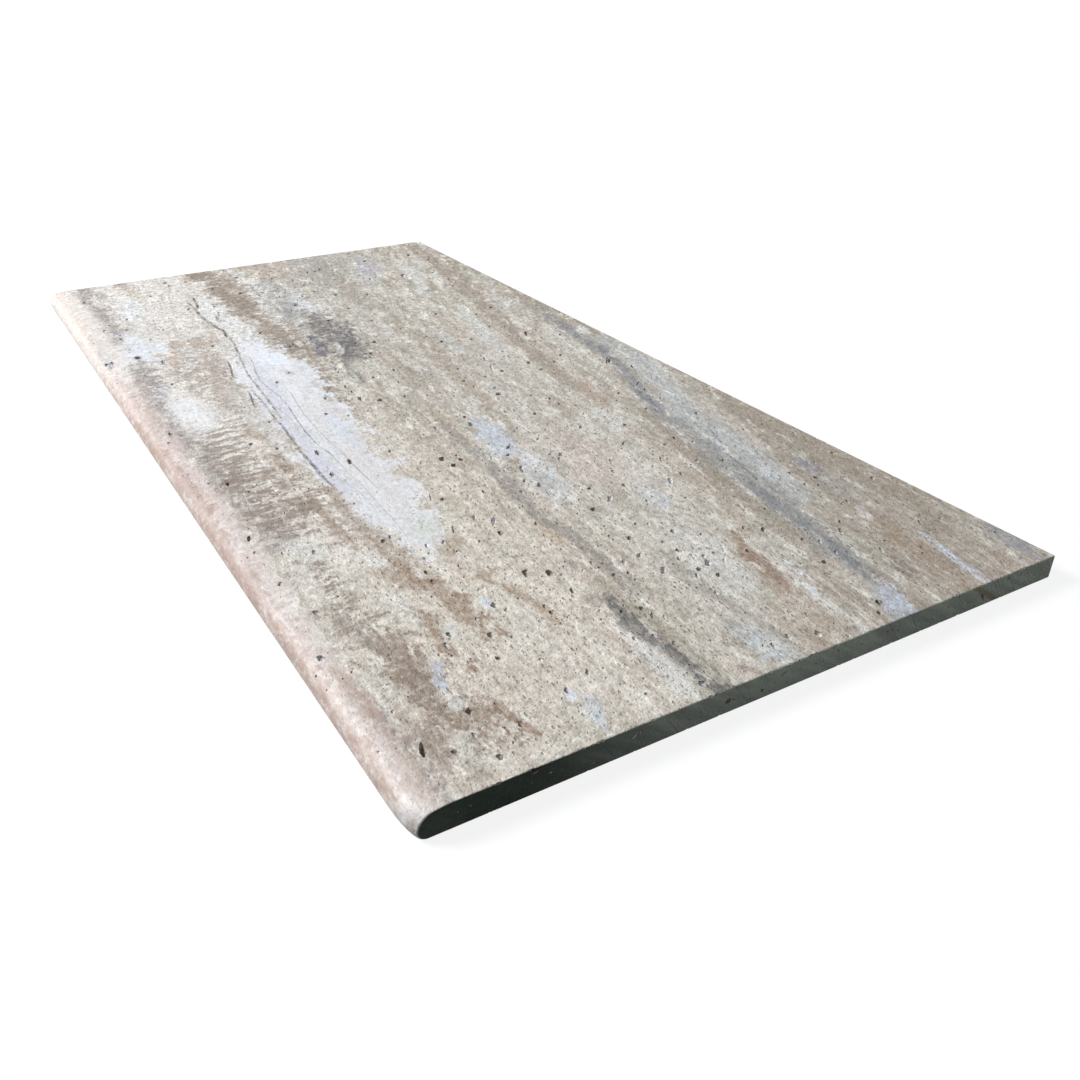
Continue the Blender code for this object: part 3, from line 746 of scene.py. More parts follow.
@dataclass(frozen=True)
class TravertineFinish:
    """The honed stone: beige ground, bedded streaks, blotches, grain, pits and sawn faces."""

    name: str = "banded_travertine"
    ground_colours: tuple[tuple[float, Colour], ...] = (
        (0.38, (160, 148, 134)),
        (0.46, (186, 176, 163)),
        (0.54, (204, 197, 186)),
        (0.62, (220, 217, 209)),
    )
    pale_flake: Colour = (230, 226, 216)
    dark_flake: Colour = (158, 144, 129)
    rosy_tint: Colour = (206, 189, 176)
    mossy_tint: Colour = (188, 190, 172)
    speck_colour: Colour = (112, 99, 86)
    # The colour deep in the pits: partly the stone's brown, partly painted shade.
    pit_brown_and_shade: Colour = (158, 146, 132)
    crystal_colour: Colour = (230, 232, 240)
    # The sawn faces' colours: the dark nose side is painted shade, and the deck side is the stone's
    # own colour.
    sawn_colours_shaded_to_nose: tuple[Colour, Colour] = ((54, 64, 54), (180, 185, 170))  # nose side, deck side
    sawn_stain: Colour = (132, 104, 66)
    dip: float = 0.7  # how far the bedding slants under the top, for each step down
    honed_roughness: float = 0.62
    milky_roughness: float = 0.42

    def build(self) -> bpy.types.Material:
        """Makes the material.

        Returns:
            The finished material.
        """
        material = bpy.data.materials.new(self.name)
        material.use_nodes = True
        graph = Graph(material.node_tree)
        shader = material.node_tree.nodes["Principled BSDF"]
        place = graph.scale(graph.add("TexCoord", {}).outputs["Object"], 1 / MM)
        x, y, z = graph.split(place)
        ground, bedded = self.lay_ground(graph, x, y, z)
        grain = graph.noise(place, 0.9, detail=2.0, rough=0.6)
        prick = self.prick(graph, place)
        flakes = graph.noise(graph.vector("MULTIPLY", bedded, (1.0, 0.36, 1.0)), 6.5, 6.0, 0.7, 0.3)
        colour = self.lay_colour(graph, bedded, flakes)
        colour, milky = self.draw_pattern(graph, ground, colour)
        specks = self.specks(graph, bedded, flakes)
        colour = self.add_texture(graph, colour, milky, bedded, flakes, grain, prick)
        specks = graph.math("MULTIPLY", specks, graph.ramp(x, -142, -106))
        dark = graph.math("MULTIPLY", specks, graph.ramp(milky, 0.0, 0.8, 0.5, 0.12))
        colour = graph.mix(dark, colour, linear(self.speck_colour))
        colour, sawn = self.saw_faces(graph, colour, x, y, z)
        graph.feed(shader.inputs["Specular IOR Level"], graph.math("MULTIPLY_ADD", sawn, -0.4, 0.5))
        colour = self.open_pits(graph, colour, ground)
        graph.feed(shader.inputs["Base Color"], colour)
        worn = graph.ramp(milky, 0.1, 0.7, self.honed_roughness, self.milky_roughness)
        graph.feed(shader.inputs["Roughness"], graph.math("MULTIPLY_ADD", grain, 0.14, worn))
        relief = graph.math("MULTIPLY_ADD", prick, 0.35, graph.math("MULTIPLY", grain, 0.6))
        relief = graph.math("MULTIPLY_ADD", specks, -0.8, relief)
        relief = graph.math("ADD", relief, graph.noise(place, 2.6, 2.0, 0.6))
        depth = graph.math("MULTIPLY_ADD", milky, -0.6, 1.0)
        bump = graph.add("Bump", {"Strength": depth, "Distance": 0.00035, "Height": relief})
        graph.feed(shader.inputs["Normal"], bump.outputs["Normal"])
        return material

    def lay_ground(
        self, graph: Graph, x: Socket, y: Socket, z: Socket
    ) -> tuple[Ground, Socket]:
        """Bends the stone's coordinates as its bedding is bent.

        Args:
            graph: the material's nodes.
            x: the place across the slab, in millimetres.
            y: the place along the slab.
            z: the place up from the bed.

        Returns:
            What the features are drawn on, and the place counted across and along the bedding.
        """
        depth = graph.math("SUBTRACT", THICKNESS, z)
        sunk = graph.math("MULTIPLY_ADD", depth, -self.dip, x)
        flat = graph.join(y, sunk, graph.math("MULTIPLY", depth, 0.5))
        slow = graph.vector("SUBTRACT", graph.noise(flat, 60, 2.0, colour=True), (0.5, 0.5, 0.5))
        quick = graph.vector(
            "SUBTRACT", graph.noise(flat, 9, 4.0, 0.66, colour=True), (0.5, 0.5, 0.5)
        )
        calm = graph.vector("MULTIPLY_ADD", slow, (14, 7, 0), flat)
        bent = graph.vector("MULTIPLY_ADD", quick, (10, 6, 0), calm)
        calm = graph.vector("MULTIPLY_ADD", quick, (1.5, 1.2, 0), calm)
        bent_y, bent_x, _ = graph.split(bent)
        calm_y, calm_x, _ = graph.split(calm)
        lean = graph.math("MULTIPLY_ADD", sunk, 0.0007, 0.11)
        across = graph.math("SUBTRACT", calm_x, graph.math("MULTIPLY", lean, calm_y))
        bedded = graph.join(across, calm_y, graph.math("MULTIPLY", depth, 0.6))
        streaky = graph.vector("MULTIPLY", bedded, (1.0, 0.6, 1.0))
        crossed = graph.vector("MULTIPLY", bedded, (0.42, 1.0, 1.0))
        fine = graph.math("MULTIPLY_ADD", graph.noise(streaky, 1.8, 3.0, 0.65), 3.0, -4.0)
        blotches = {
            Weave.BEDDED: graph.ramp(graph.noise(streaky, 4.5, 5.0, 0.7, 0.4), 0.42, 0.60),
            Weave.CROSSED: graph.ramp(graph.noise(crossed, 4.2, 4.0, 0.62, 0.6), 0.42, 0.59),
        }
        ground = Ground(
            place=bent,
            length_share=graph.math("MULTIPLY_ADD", bent_y, 1 / LENGTH, 0.5),
            width_share=graph.math("MULTIPLY_ADD", bent_x, 1 / WIDTH, 0.5),
            calm_length_share=graph.math("MULTIPLY_ADD", calm_y, 1 / LENGTH, 0.5),
            calm_width_share=graph.math("MULTIPLY_ADD", calm_x, 1 / WIDTH, 0.5),
            torn={
                Weave.BEDDED: graph.math(
                    "MULTIPLY_ADD", graph.noise(streaky, 9, 5.0, 0.68), 5.0, fine
                ),
                Weave.CROSSED: graph.math(
                    "MULTIPLY_ADD", graph.noise(crossed, 8, 4.0, 0.62), 5.0, fine
                ),
            },
            blotches=blotches,
        )
        return ground, bedded

    @staticmethod
    def prick(graph: Graph, place: Socket) -> Socket:
        """The smallest pits: 0 in their middles and 1 between them."""
        cells = graph.add("TexVoronoi", {"Vector": place, "Scale": 1 / 1.9}, feature="F1")
        return graph.ramp(cells.outputs["Distance"], 0.12, 0.32)

    @staticmethod
    def specks(graph: Graph, bedded: Socket, flakes: Socket) -> Socket:
        """Dark specks along the bedding, of many sizes: 1 in their middles and 0 between them."""
        drawn_out = graph.vector("MULTIPLY", bedded, (1.0, 0.6, 1.0))
        cells = graph.add(
            "TexVoronoi", {"Vector": drawn_out, "Scale": 1 / 2.4}, feature="F1",
            voronoi_dimensions="2D",
        )
        chance = graph.math("ADD", graph.split(cells.outputs["Color"])[0], flakes)
        radius = graph.ramp(chance, 0.95, 1.6, -0.12, 0.33)
        inside = graph.math("SUBTRACT", cells.outputs["Distance"], radius)
        return graph.ramp(inside, -0.12, 0.03, 1.0, 0.0)

    def lay_colour(self, graph: Graph, bedded: Socket, flakes: Socket) -> Socket:
        """Draws the beige ground: its long bands, its flakes and its rosy and mossy tints.

        Args:
            graph: the material's nodes.
            bedded: the place across and along the bedding.
            flakes: the noise of flakes as long as a fingertip.

        Returns:
            The colour.
        """
        drawn_out = graph.vector("MULTIPLY", bedded, (1.0, 0.10, 1.0))
        bands = graph.noise(drawn_out, 14, 7.0, 0.64, 0.3)
        ramp = graph.add("ValToRGB", {"Fac": bands})
        stops = ramp.color_ramp.elements
        while len(stops) < len(self.ground_colours):
            stops.new(0.5)
        for stop, (share, colour) in zip(stops, self.ground_colours):
            stop.position, stop.color = share, linear(colour)
        colour = ramp.outputs["Color"]
        tint = graph.noise(graph.vector("MULTIPLY", bedded, (1.0, 0.3, 1.0)), 12, 5.0, 0.65)
        rosy = graph.ramp(tint, 0.50, 0.62, 0.0, 0.4)
        colour = graph.mix(rosy, colour, linear(self.rosy_tint))
        mossy = graph.ramp(tint, 0.38, 0.50, 0.45, 0.0)
        colour = graph.mix(mossy, colour, linear(self.mossy_tint))
        pale = graph.ramp(flakes, 0.50, 0.64, 0.0, 0.85)
        colour = graph.mix(pale, colour, linear(self.pale_flake))
        dark = graph.ramp(flakes, 0.36, 0.49, 0.7, 0.0)
        return graph.mix(dark, colour, linear(self.dark_flake))

    def draw_pattern(
        self, graph: Graph, ground: Ground, colour: Socket
    ) -> tuple[Socket, Socket]:
        """Draws every tone, streak and patch on the beige ground.

        Args:
            graph: the material's nodes.
            ground: what the features are drawn on.
            colour: the colour under them.

        Returns:
            The colour, and how milky the stone is, from 0 to 1.
        """
        milky: Socket | None = None
        for feature in (
            *TONES, *DECK_BACK_FEATURES, *DECK_FRONT_FEATURES, *NOSE_BACK_FEATURES,
            *LENS_FEATURES, *NOSE_FRONT_FEATURES, *NOSE_FEATURES,
        ):
            shown = feature.mask(graph, ground)
            colour = graph.mix(shown, colour, linear(feature.colour))
            if feature.milky:
                milky = shown if milky is None else graph.math("MAXIMUM", milky, shown)
        return colour, milky

    def add_texture(
        self,
        graph: Graph,
        colour: Socket,
        milky: Socket,
        bedded: Socket,
        flakes: Socket,
        grain: Socket,
        prick: Socket,
    ) -> Socket:
        """Adds the flakes, the crystals and the grain that show through every pattern.

        Args:
            graph: the material's nodes.
            colour: the pattern's colour.
            milky: where the stone is milky, and so smoother.
            bedded: the place across and along the bedding.
            flakes: the noise of flakes as long as a fingertip.
            grain: the grain's noise.
            prick: the smallest pits.

        Returns:
            The colour.
        """
        amount = graph.math("MULTIPLY_ADD", milky, -0.6, 1.0)
        pale = graph.math("MULTIPLY", graph.ramp(flakes, 0.56, 0.66, 0.0, 0.5), amount)
        colour = graph.mix(pale, colour, linear(self.pale_flake))
        leaning = graph.join(
            graph.dot(bedded, (1.0, -0.09, 0.0)), graph.dot(bedded, (0.0, 0.62, 0.0)),
            graph.dot(bedded, (0.0, 0.0, 1.0)),
        )
        thin = graph.noise(leaning, 2.6, 4.0, 0.7)
        fleck = graph.noise(leaning, 1.1, 2.0, 0.6)
        crystal = graph.math("MULTIPLY", graph.ramp(thin, 0.66, 0.72, 0.0, 0.6), amount)
        colour = graph.mix(crystal, colour, linear(self.crystal_colour))
        mixed = graph.math("MULTIPLY_ADD", fleck, 0.8, graph.math("MULTIPLY", thin, 1.6))
        mixed = graph.math("MULTIPLY_ADD", grain, 0.4, mixed)
        mixed = graph.math("MULTIPLY_ADD", flakes, 0.5, mixed)
        swing = graph.math("MULTIPLY", graph.math("SUBTRACT", mixed, 1.65), amount)
        farther = graph.ramp(graph.split(bedded)[1], -50, 300, 1.1, 1.45)
        tone = graph.math("MULTIPLY", swing, farther)
        tone = graph.math("ADD", tone, graph.math("MULTIPLY_ADD", prick, 0.08, 0.93))
        return graph.scale(colour, tone)

    def saw_faces(
        self, graph: Graph, colour: Socket, x: Socket, y: Socket, z: Socket
    ) -> tuple[Socket, Socket]:
        """Greys the sawn ends, the sawn deck edge and the bed, darker towards the nose as painted
        shade, and stains them.

        Args:
            graph: the material's nodes.
            colour: the stone's colour so far.
            x: the place across the slab.
            y: the place along the slab.
            z: the place up from the bed.

        Returns:
            The colour with the sawn faces on it, and where they are, from 0 to 1.
        """
        at_end = graph.ramp(graph.math("ABSOLUTE", y), LENGTH / 2 - 0.5, LENGTH / 2 - 0.1)
        at_deck = graph.ramp(x, WIDTH / 2 - 0.5, WIDTH / 2 - 0.1)
        at_bed = graph.ramp(z, 0.1, 0.5, 1.0, 0.0)
        sawn = graph.math("MAXIMUM", at_end, graph.math("MAXIMUM", at_deck, at_bed))
        slant = graph.math("MULTIPLY_ADD", z, 1.43, x)
        shaded_near_nose, near_deck = (linear(shade) for shade in self.sawn_colours_shaded_to_nose)
        # Painted shade: the sawn faces grow darker towards the nose.
        face = graph.mix(graph.ramp(x, -118, -30), shaded_near_nose, near_deck)
        streaks = graph.noise(graph.join(slant, y, graph.math("MULTIPLY", z, 0.4)), 9, 4.0, 0.6)
        face = graph.scale(face, graph.ramp(streaks, 0.32, 0.7, 0.78, 1.22))
        stain_at = graph.math("ABSOLUTE", graph.math("SUBTRACT", slant, 117.5))
        stain = graph.ramp(stain_at, 0.6, 3.2, 0.6, 0.0)
        face = graph.mix(stain, face, linear(self.sawn_stain))
        return graph.mix(sawn, colour, face), sawn

    def open_pits(self, graph: Graph, colour: Socket, ground: Ground) -> Socket:
        """Darkens and browns the inside of the pits with depth, partly the stone's brown and partly
        painted shade, and lines some of them with pale crystals.

        Args:
            graph: the material's nodes.
            colour: the stone's colour so far.
            ground: what the features are drawn on.

        Returns:
            The colour with the pits' own in it.
        """
        depth = graph.add("Attribute", {}, attribute_name=HonedSlab.DEPTH).outputs["Fac"]
        # Painted shade in the pits: the deeper a point lies, the more of the darker pit colour it
        # takes.
        inside = graph.ramp(depth, 0.15, 0.9, 0.0, 0.8)
        lining = graph.ramp(graph.noise(ground.place, 16, 2.0), 0.48, 0.62)
        kept = graph.mix(lining, linear(self.pit_brown_and_shade), linear(self.crystal_colour))
        return graph.mix(inside, colour, kept)


@dataclass(frozen=True)
class Spot:
    """Where a pit opens, as a frame on the stone's surface, in millimetres."""

    place: Vector
    along: Vector
    out: Vector


@dataclass
class HonedSlab:
    """The whole stone: the CAD slab, divided and cut open by its small pits."""

    node: str = "coping_stone"
    name: str = "honed_stone"
    body: str = "root"
    slot: str = "honed_travertine"
    cell: float = 10.0
    seed: int = 4
    small_pits: int = 2700
    medium_pits: int = 560
    small_lengths: tuple[float, float] = (0.8, 1.9)
    medium_lengths: tuple[float, float] = (1.9, 5.0)
    bed_pits: int = 160
    end_pits: int = 44
    edge_pits: int = 80
    chips: int = 150
    blanks: list[tuple[np.ndarray, np.ndarray]] = field(default_factory=list)
    taken: dict[tuple[int, int], list[tuple[float, float, float]]] = field(default_factory=dict)

    DEPTH = "pit_depth"
    FREE_CELL = 6.0
    FINE_LENGTH = 2.9  # the shortest pit that is cut with a fine blank
    FLAT_ANGLE = math.radians(15)
    BED_COLUMNS = 8
    BED_ROWS = 20

    def build(self) -> bpy.types.Object:
        """Makes the stone.

        Returns:
            The finished piece.
        """
        stone = self.copy_node()
        self.divide(stone)
        cutters = self.make_cutters()
        self.cut(stone, cutters)
        stone = self.drop_crumbs(stone)
        self.mark_depth(stone)
        select_only(stone)
        bpy.ops.object.shade_smooth_by_angle(angle=self.FLAT_ANGLE)
        return stone

    def copy_node(self) -> bpy.types.Object:
        """Copies the CAD slab into a piece of its own, welded and without its loose triangles.

        Returns:
            The copy.
        """
        node = frame["nodes"][self.node]
        stone = node.copy()
        stone.data = node.data.copy()
        stone.name = stone.data.name = self.name
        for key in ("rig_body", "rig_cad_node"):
            del stone[key]
        stone.parent = None
        bpy.context.scene.collection.objects.link(stone)
        select_only(stone)
        bpy.ops.mesh.customdata_custom_splitnormals_clear()
        bpy.ops.object.mode_set(mode="EDIT")
        bpy.ops.mesh.select_all(action="SELECT")
        bpy.ops.mesh.remove_doubles(threshold=1e-6)
        bpy.ops.mesh.dissolve_limited(angle_limit=math.radians(0.5))
        bpy.ops.object.mode_set(mode="OBJECT")
        return stone

    def divide(self, stone: bpy.types.Object) -> None:
        """Divides the slab into cells, so that no face is large against its pits."""
        select_only(stone)
        bpy.ops.object.mode_set(mode="EDIT")
        for size, normal in ((LENGTH, Vector((0, 1, 0))), (WIDTH, Vector((1, 0, 0)))):
            for step in range(1, math.ceil(size / self.cell)):
                bpy.ops.mesh.select_all(action="SELECT")
                place = normal * (step * self.cell - size / 2) * MM
                bpy.ops.mesh.bisect(plane_co=place, plane_no=normal)
        bpy.ops.object.mode_set(mode="OBJECT")

    def make_blanks(self) -> None:
        """Models a few rough balls, small and plain or larger and finer, to be copied as pits."""
        for count, divisions in ((5, 1), (4, 2)):
            for index in range(count):
                bpy.ops.mesh.primitive_ico_sphere_add(subdivisions=divisions, radius=1.0)
                ball = bpy.context.active_object
                bpy.ops.object.mode_set(mode="EDIT")
                bpy.ops.transform.vertex_random(offset=0.24, uniform=0.7, normal=0.3, seed=index)
                bpy.ops.object.mode_set(mode="OBJECT")
                points = np.empty(len(ball.data.vertices) * 3)
                ball.data.vertices.foreach_get("co", points)
                faces = np.array([list(face.vertices) for face in ball.data.polygons])
                self.blanks.append((points.reshape(-1, 3), faces))
                bpy.data.objects.remove(ball)

    def free(self, y: float, x: float, room: float) -> bool:
        """Takes a round place on the top if no pit is there yet, and says whether it could."""
        row, column = int(y // self.FREE_CELL), int(x // self.FREE_CELL)
        near = [
            spot
            for i in (row - 1, row, row + 1)
            for j in (column - 1, column, column + 1)
            for spot in self.taken.get((i, j), ())
        ]
        if any(math.hypot(y - a, x - b) < room + c for a, b, c in near):
            return False
        self.taken.setdefault((row, column), []).append((y, x, room))
        return True

    @staticmethod
    def openness(y: float, x: float) -> float:
        """How many pits the stone has at a place of its top, 1 where there are most."""
        if abs(x + 70 + 0.05 * y) < 17 and -160 < y < 125:
            return 0.10
        if math.hypot((y - 97) / 52, (x + 8) / 17) < 1:
            return 0.25
        if x < -92:
            return 0.35
        if y > -60:
            return 0.45
        return 1.0 if x < 38 else 0.65

    @staticmethod
    def bedding_turn(x: float) -> float:
        """How far the bedding turns towards the nose at x, in degrees."""
        return min(24 + 0.16 * x, 28.0)

    def top_spot(self, y: float, x: float, turn: float) -> Spot:
        """A frame on the top, on the shoulder or on the nose."""
        angle = math.radians(turn)
        height = section_height(x)
        slope = (section_height(x + 0.05) - section_height(x - 0.05)) / 0.1
        out = Vector((-slope, 0, 1)).normalized()
        along = Vector((math.sin(angle), math.cos(angle), 0))
        along = (along - out * along.dot(out)).normalized()
        return Spot(Vector((x, y, height)), along, out)

    def make_cutters(self) -> bpy.types.Object:
        """Joins a cutter for every pit and chip into one mesh.

        Returns:
            The object of all the cutters.
        """
        rng = random.Random(self.seed)
        self.make_blanks()
        cuts: list[tuple[np.ndarray, np.ndarray]] = []
        for y, x, length, width, turn in PLACED_PITS:
            self.free(y, x, 0.5 * length)
            spot = self.top_spot(y, x, turn)
            cuts.append(self.place_blank(rng, spot, length, width, width * rng.uniform(0.5, 0.75)))
        for count, (low, high) in (
            (self.medium_pits, self.medium_lengths), (self.small_pits, self.small_lengths),
        ):
            made = 0
            while made < count:
                y, x = rng.uniform(-301, 302), rng.uniform(-150.5, 150)
                if rng.random() > self.openness(y, x):
                    continue
                length = low + (high - low) * rng.random() ** 2
                if not self.free(y, x, 0.55 * length + 0.1):
                    continue
                turn = self.bedding_turn(x) + rng.uniform(-16, 16)
                width = length * rng.uniform(0.38, 0.75)
                spot = self.top_spot(y, x, turn)
                cuts.append(self.place_blank(rng, spot, length, width, width * rng.uniform(0.4, 0.7)))
                made += 1
        self.pit_sawn_faces(rng, cuts)
        self.chip_arrises(rng, cuts)
        offset, points, faces = 0, [], []
        for placed, corners in cuts:
            points.append(placed)
            faces.append(corners + offset)
            offset += len(placed)
        mesh = bpy.data.meshes.new("pit_cutters")
        mesh.from_pydata((np.vstack(points) * MM).tolist(), [], np.vstack(faces).tolist())
        cutters = bpy.data.objects.new("pit_cutters", mesh)
        bpy.context.scene.collection.objects.link(cutters)
        return cutters

    def place_blank(
        self, rng: random.Random, spot: Spot, length: float, width: float, depth: float
    ) -> tuple[np.ndarray, np.ndarray]:
        """Puts one blank where a pit opens.

        Args:
            rng: the stone's own random numbers.
            spot: where the pit opens.
            length: its length along the spot's line.
            width: its width.
            depth: its depth into the stone.

        Returns:
            The cutter's points and its faces.
        """
        fine = length > self.FINE_LENGTH
        points, faces = self.blanks[rng.randrange(5, 9) if fine else rng.randrange(5)]
        side = spot.along.cross(spot.out)
        axes = np.array([side * width / 2, spot.along * length / 2, spot.out * depth])
        spin = rng.uniform(0, 2 * math.pi)
        cosine, sine = math.cos(spin), math.sin(spin)
        turned = points @ np.array([[cosine, sine, 0], [-sine, cosine, 0], [0, 0, 1]])
        return turned @ axes + np.array(spot.place), faces

    def pit_sawn_faces(self, rng: random.Random, cuts: list) -> None:
        """Adds the pits of the bed, the two ends and the deck edge.

        Args:
            rng: the stone's own random numbers.
            cuts: the cutters so far, which this adds to.
        """
        for index in range(self.bed_pits):
            row, column = divmod(index, self.BED_COLUMNS)
            y = -292 + row * 584 / self.BED_ROWS + rng.uniform(6, 22)
            x = -140 + column * 36 + rng.uniform(4, 32)
            angle = math.radians(self.bedding_turn(x))
            along = Vector((math.sin(angle), math.cos(angle), 0))
            length = rng.uniform(1.2, 4.0)
            spot = Spot(Vector((x, y, 0)), along, Vector((0, 0, -1)))
            cuts.append(self.place_blank(rng, spot, length, length * 0.55, length * 0.3))
        for side, out in ((-LENGTH / 2, Vector((0, -1, 0))), (LENGTH / 2, Vector((0, 1, 0)))):
            for step in range(self.end_pits):
                x = -140 + step * 6.5 + rng.uniform(0.8, 5.4)
                lean = Vector((0.82, 0, -0.57))
                length = rng.uniform(0.7, 1.9)
                spot = Spot(Vector((x, side, rng.uniform(1.6, 9.4))), lean, out)
                cuts.append(self.place_blank(rng, spot, length, length * 0.6, length * 0.4))
        for step in range(self.edge_pits):
            y = -298 + step * 7.4 + rng.uniform(1.0, 6.2)
            length = rng.uniform(0.8, 2.4)
            spot = Spot(
                Vector((WIDTH / 2, y, rng.uniform(1.8, 9.2))), Vector((0, 1, 0)), Vector((1, 0, 0))
            )
            cuts.append(self.place_blank(rng, spot, length, length * 0.6, length * 0.4))

    def chip_arrises(self, rng: random.Random, cuts: list) -> None:
        """Nicks the sawn arrises of the top and the bed.

        Args:
            rng: the stone's own random numbers.
            cuts: the cutters so far, which this adds to.
        """
        for index in range(self.chips):
            height = THICKNESS if rng.random() < 0.7 else 0.0
            up = Vector((0, 0, 1 if height else -1))
            if index % 3:
                x = -140 + rng.random() * 290
                place, out = Vector((x, -LENGTH / 2, height)), Vector((0, -1, 0))
                along = Vector((1, 0, 0))
            else:
                y = -300 + rng.random() * 600
                place, out = Vector((WIDTH / 2, y, height)), Vector((1, 0, 0))
                along = Vector((0, 1, 0))
            size = 0.5 + 0.9 * rng.random() ** 2
            spot = Spot(place - (out + up) * 0.12, along, (out + up).normalized())
            cuts.append(self.place_blank(rng, spot, size * 1.5, size, size * 0.45))

    @staticmethod
    def cut(stone: bpy.types.Object, cutters: bpy.types.Object) -> None:
        """Cuts every pit out of the stone and removes the cutters."""
        modifier = stone.modifiers.new("open_pits", "BOOLEAN")
        modifier.operation, modifier.solver, modifier.object = "DIFFERENCE", "MANIFOLD", cutters
        select_only(stone)
        bpy.ops.object.modifier_apply(modifier=modifier.name)
        bpy.data.objects.remove(cutters)

    def drop_crumbs(self, stone: bpy.types.Object) -> bpy.types.Object:
        """Removes what the cutting broke off.

        Args:
            stone: the cut stone, which can be in several parts.

        Returns:
            The largest part, under the stone's name.
        """
        select_only(stone)
        bpy.ops.mesh.separate(type="LOOSE")
        parts = sorted(bpy.context.selected_objects, key=lambda part: len(part.data.vertices))
        for crumb in parts[:-1]:
            bpy.data.objects.remove(crumb)
        parts[-1].name = parts[-1].data.name = self.name
        log.info("%s: %d crumbs dropped", self.name, len(parts) - 1)
        return parts[-1]

    def mark_depth(self, stone: bpy.types.Object) -> None:
        """Stores how far under the slab's worked surface each point lies, in millimetres."""
        points = np.empty(len(stone.data.vertices) * 3)
        stone.data.vertices.foreach_get("co", points)
        x, y, z = points.reshape(-1, 3).T / MM
        depth = np.minimum.reduce([
            nose_depth(x, z), z, WIDTH / 2 - x, LENGTH / 2 - np.abs(y), THICKNESS - z,
        ])
        marks = stone.data.attributes.new(self.DEPTH, "FLOAT", "POINT")
        marks.data.foreach_set("value", np.maximum(depth, 0.0).astype(np.float32))


def nose_arcs() -> tuple[float, float, float, float, float]:
    """The nose's section: its radius, its centre and the shoulder's centre, in millimetres."""
    fall = SHOULDER_RADIUS * (1 - math.cos(SHOULDER_TURN))
    radius = (THICKNESS - LOWER_RADIUS - fall) / math.cos(SHOULDER_TURN)
    centre_x = radius - WIDTH / 2
    shoulder_x = centre_x + (SHOULDER_RADIUS - radius) * math.sin(SHOULDER_TURN)
    shoulder_z = LOWER_RADIUS - (SHOULDER_RADIUS - radius) * math.cos(SHOULDER_TURN)
    return radius, centre_x, LOWER_RADIUS, shoulder_x, shoulder_z


def section_height(x: float) -> float:
    """The top's height over the bed at x, in millimetres."""
    radius, centre_x, centre_z, shoulder_x, shoulder_z = nose_arcs()
    if x >= shoulder_x:
        return THICKNESS
    if x >= centre_x - radius * math.sin(SHOULDER_TURN):
        return shoulder_z + math.sqrt(SHOULDER_RADIUS**2 - (x - shoulder_x) ** 2)
    return centre_z + math.sqrt(max(radius**2 - (x - centre_x) ** 2, 0.0))


def nose_depth(x: np.ndarray, z: np.ndarray) -> np.ndarray:
    """How far inside the rounded nose points lie, in millimetres.

    Args:
        x: their places across the slab.
        z: their heights over the bed.

    Returns:
        Their distances from the nose's surface, or a large number away from it.
    """
    radius, centre_x, centre_z, shoulder_x, shoulder_z = nose_arcs()
    turn = np.arctan2(z - centre_z, centre_x - x)
    upper = radius - np.hypot(x - centre_x, z - centre_z)
    lower = LOWER_RADIUS - np.hypot(x - LOWER_RADIUS + WIDTH / 2, z - centre_z)
    shoulder = SHOULDER_RADIUS - np.hypot(x - shoulder_x, z - shoulder_z)
    limit = centre_x - radius * math.sin(SHOULDER_TURN)
    depth = np.full(len(x), THICKNESS)
    on_shoulder = (x < shoulder_x) & (x >= limit) & (z > centre_z)
    depth[on_shoulder] = shoulder[on_shoulder]
    on_nose = (x < limit) & (z > centre_z) & (turn >= 0)
    depth[on_nose] = upper[on_nose]
    under = (x < LOWER_RADIUS - WIDTH / 2) & (z <= centre_z)
    depth[under] = lower[under]
    return depth


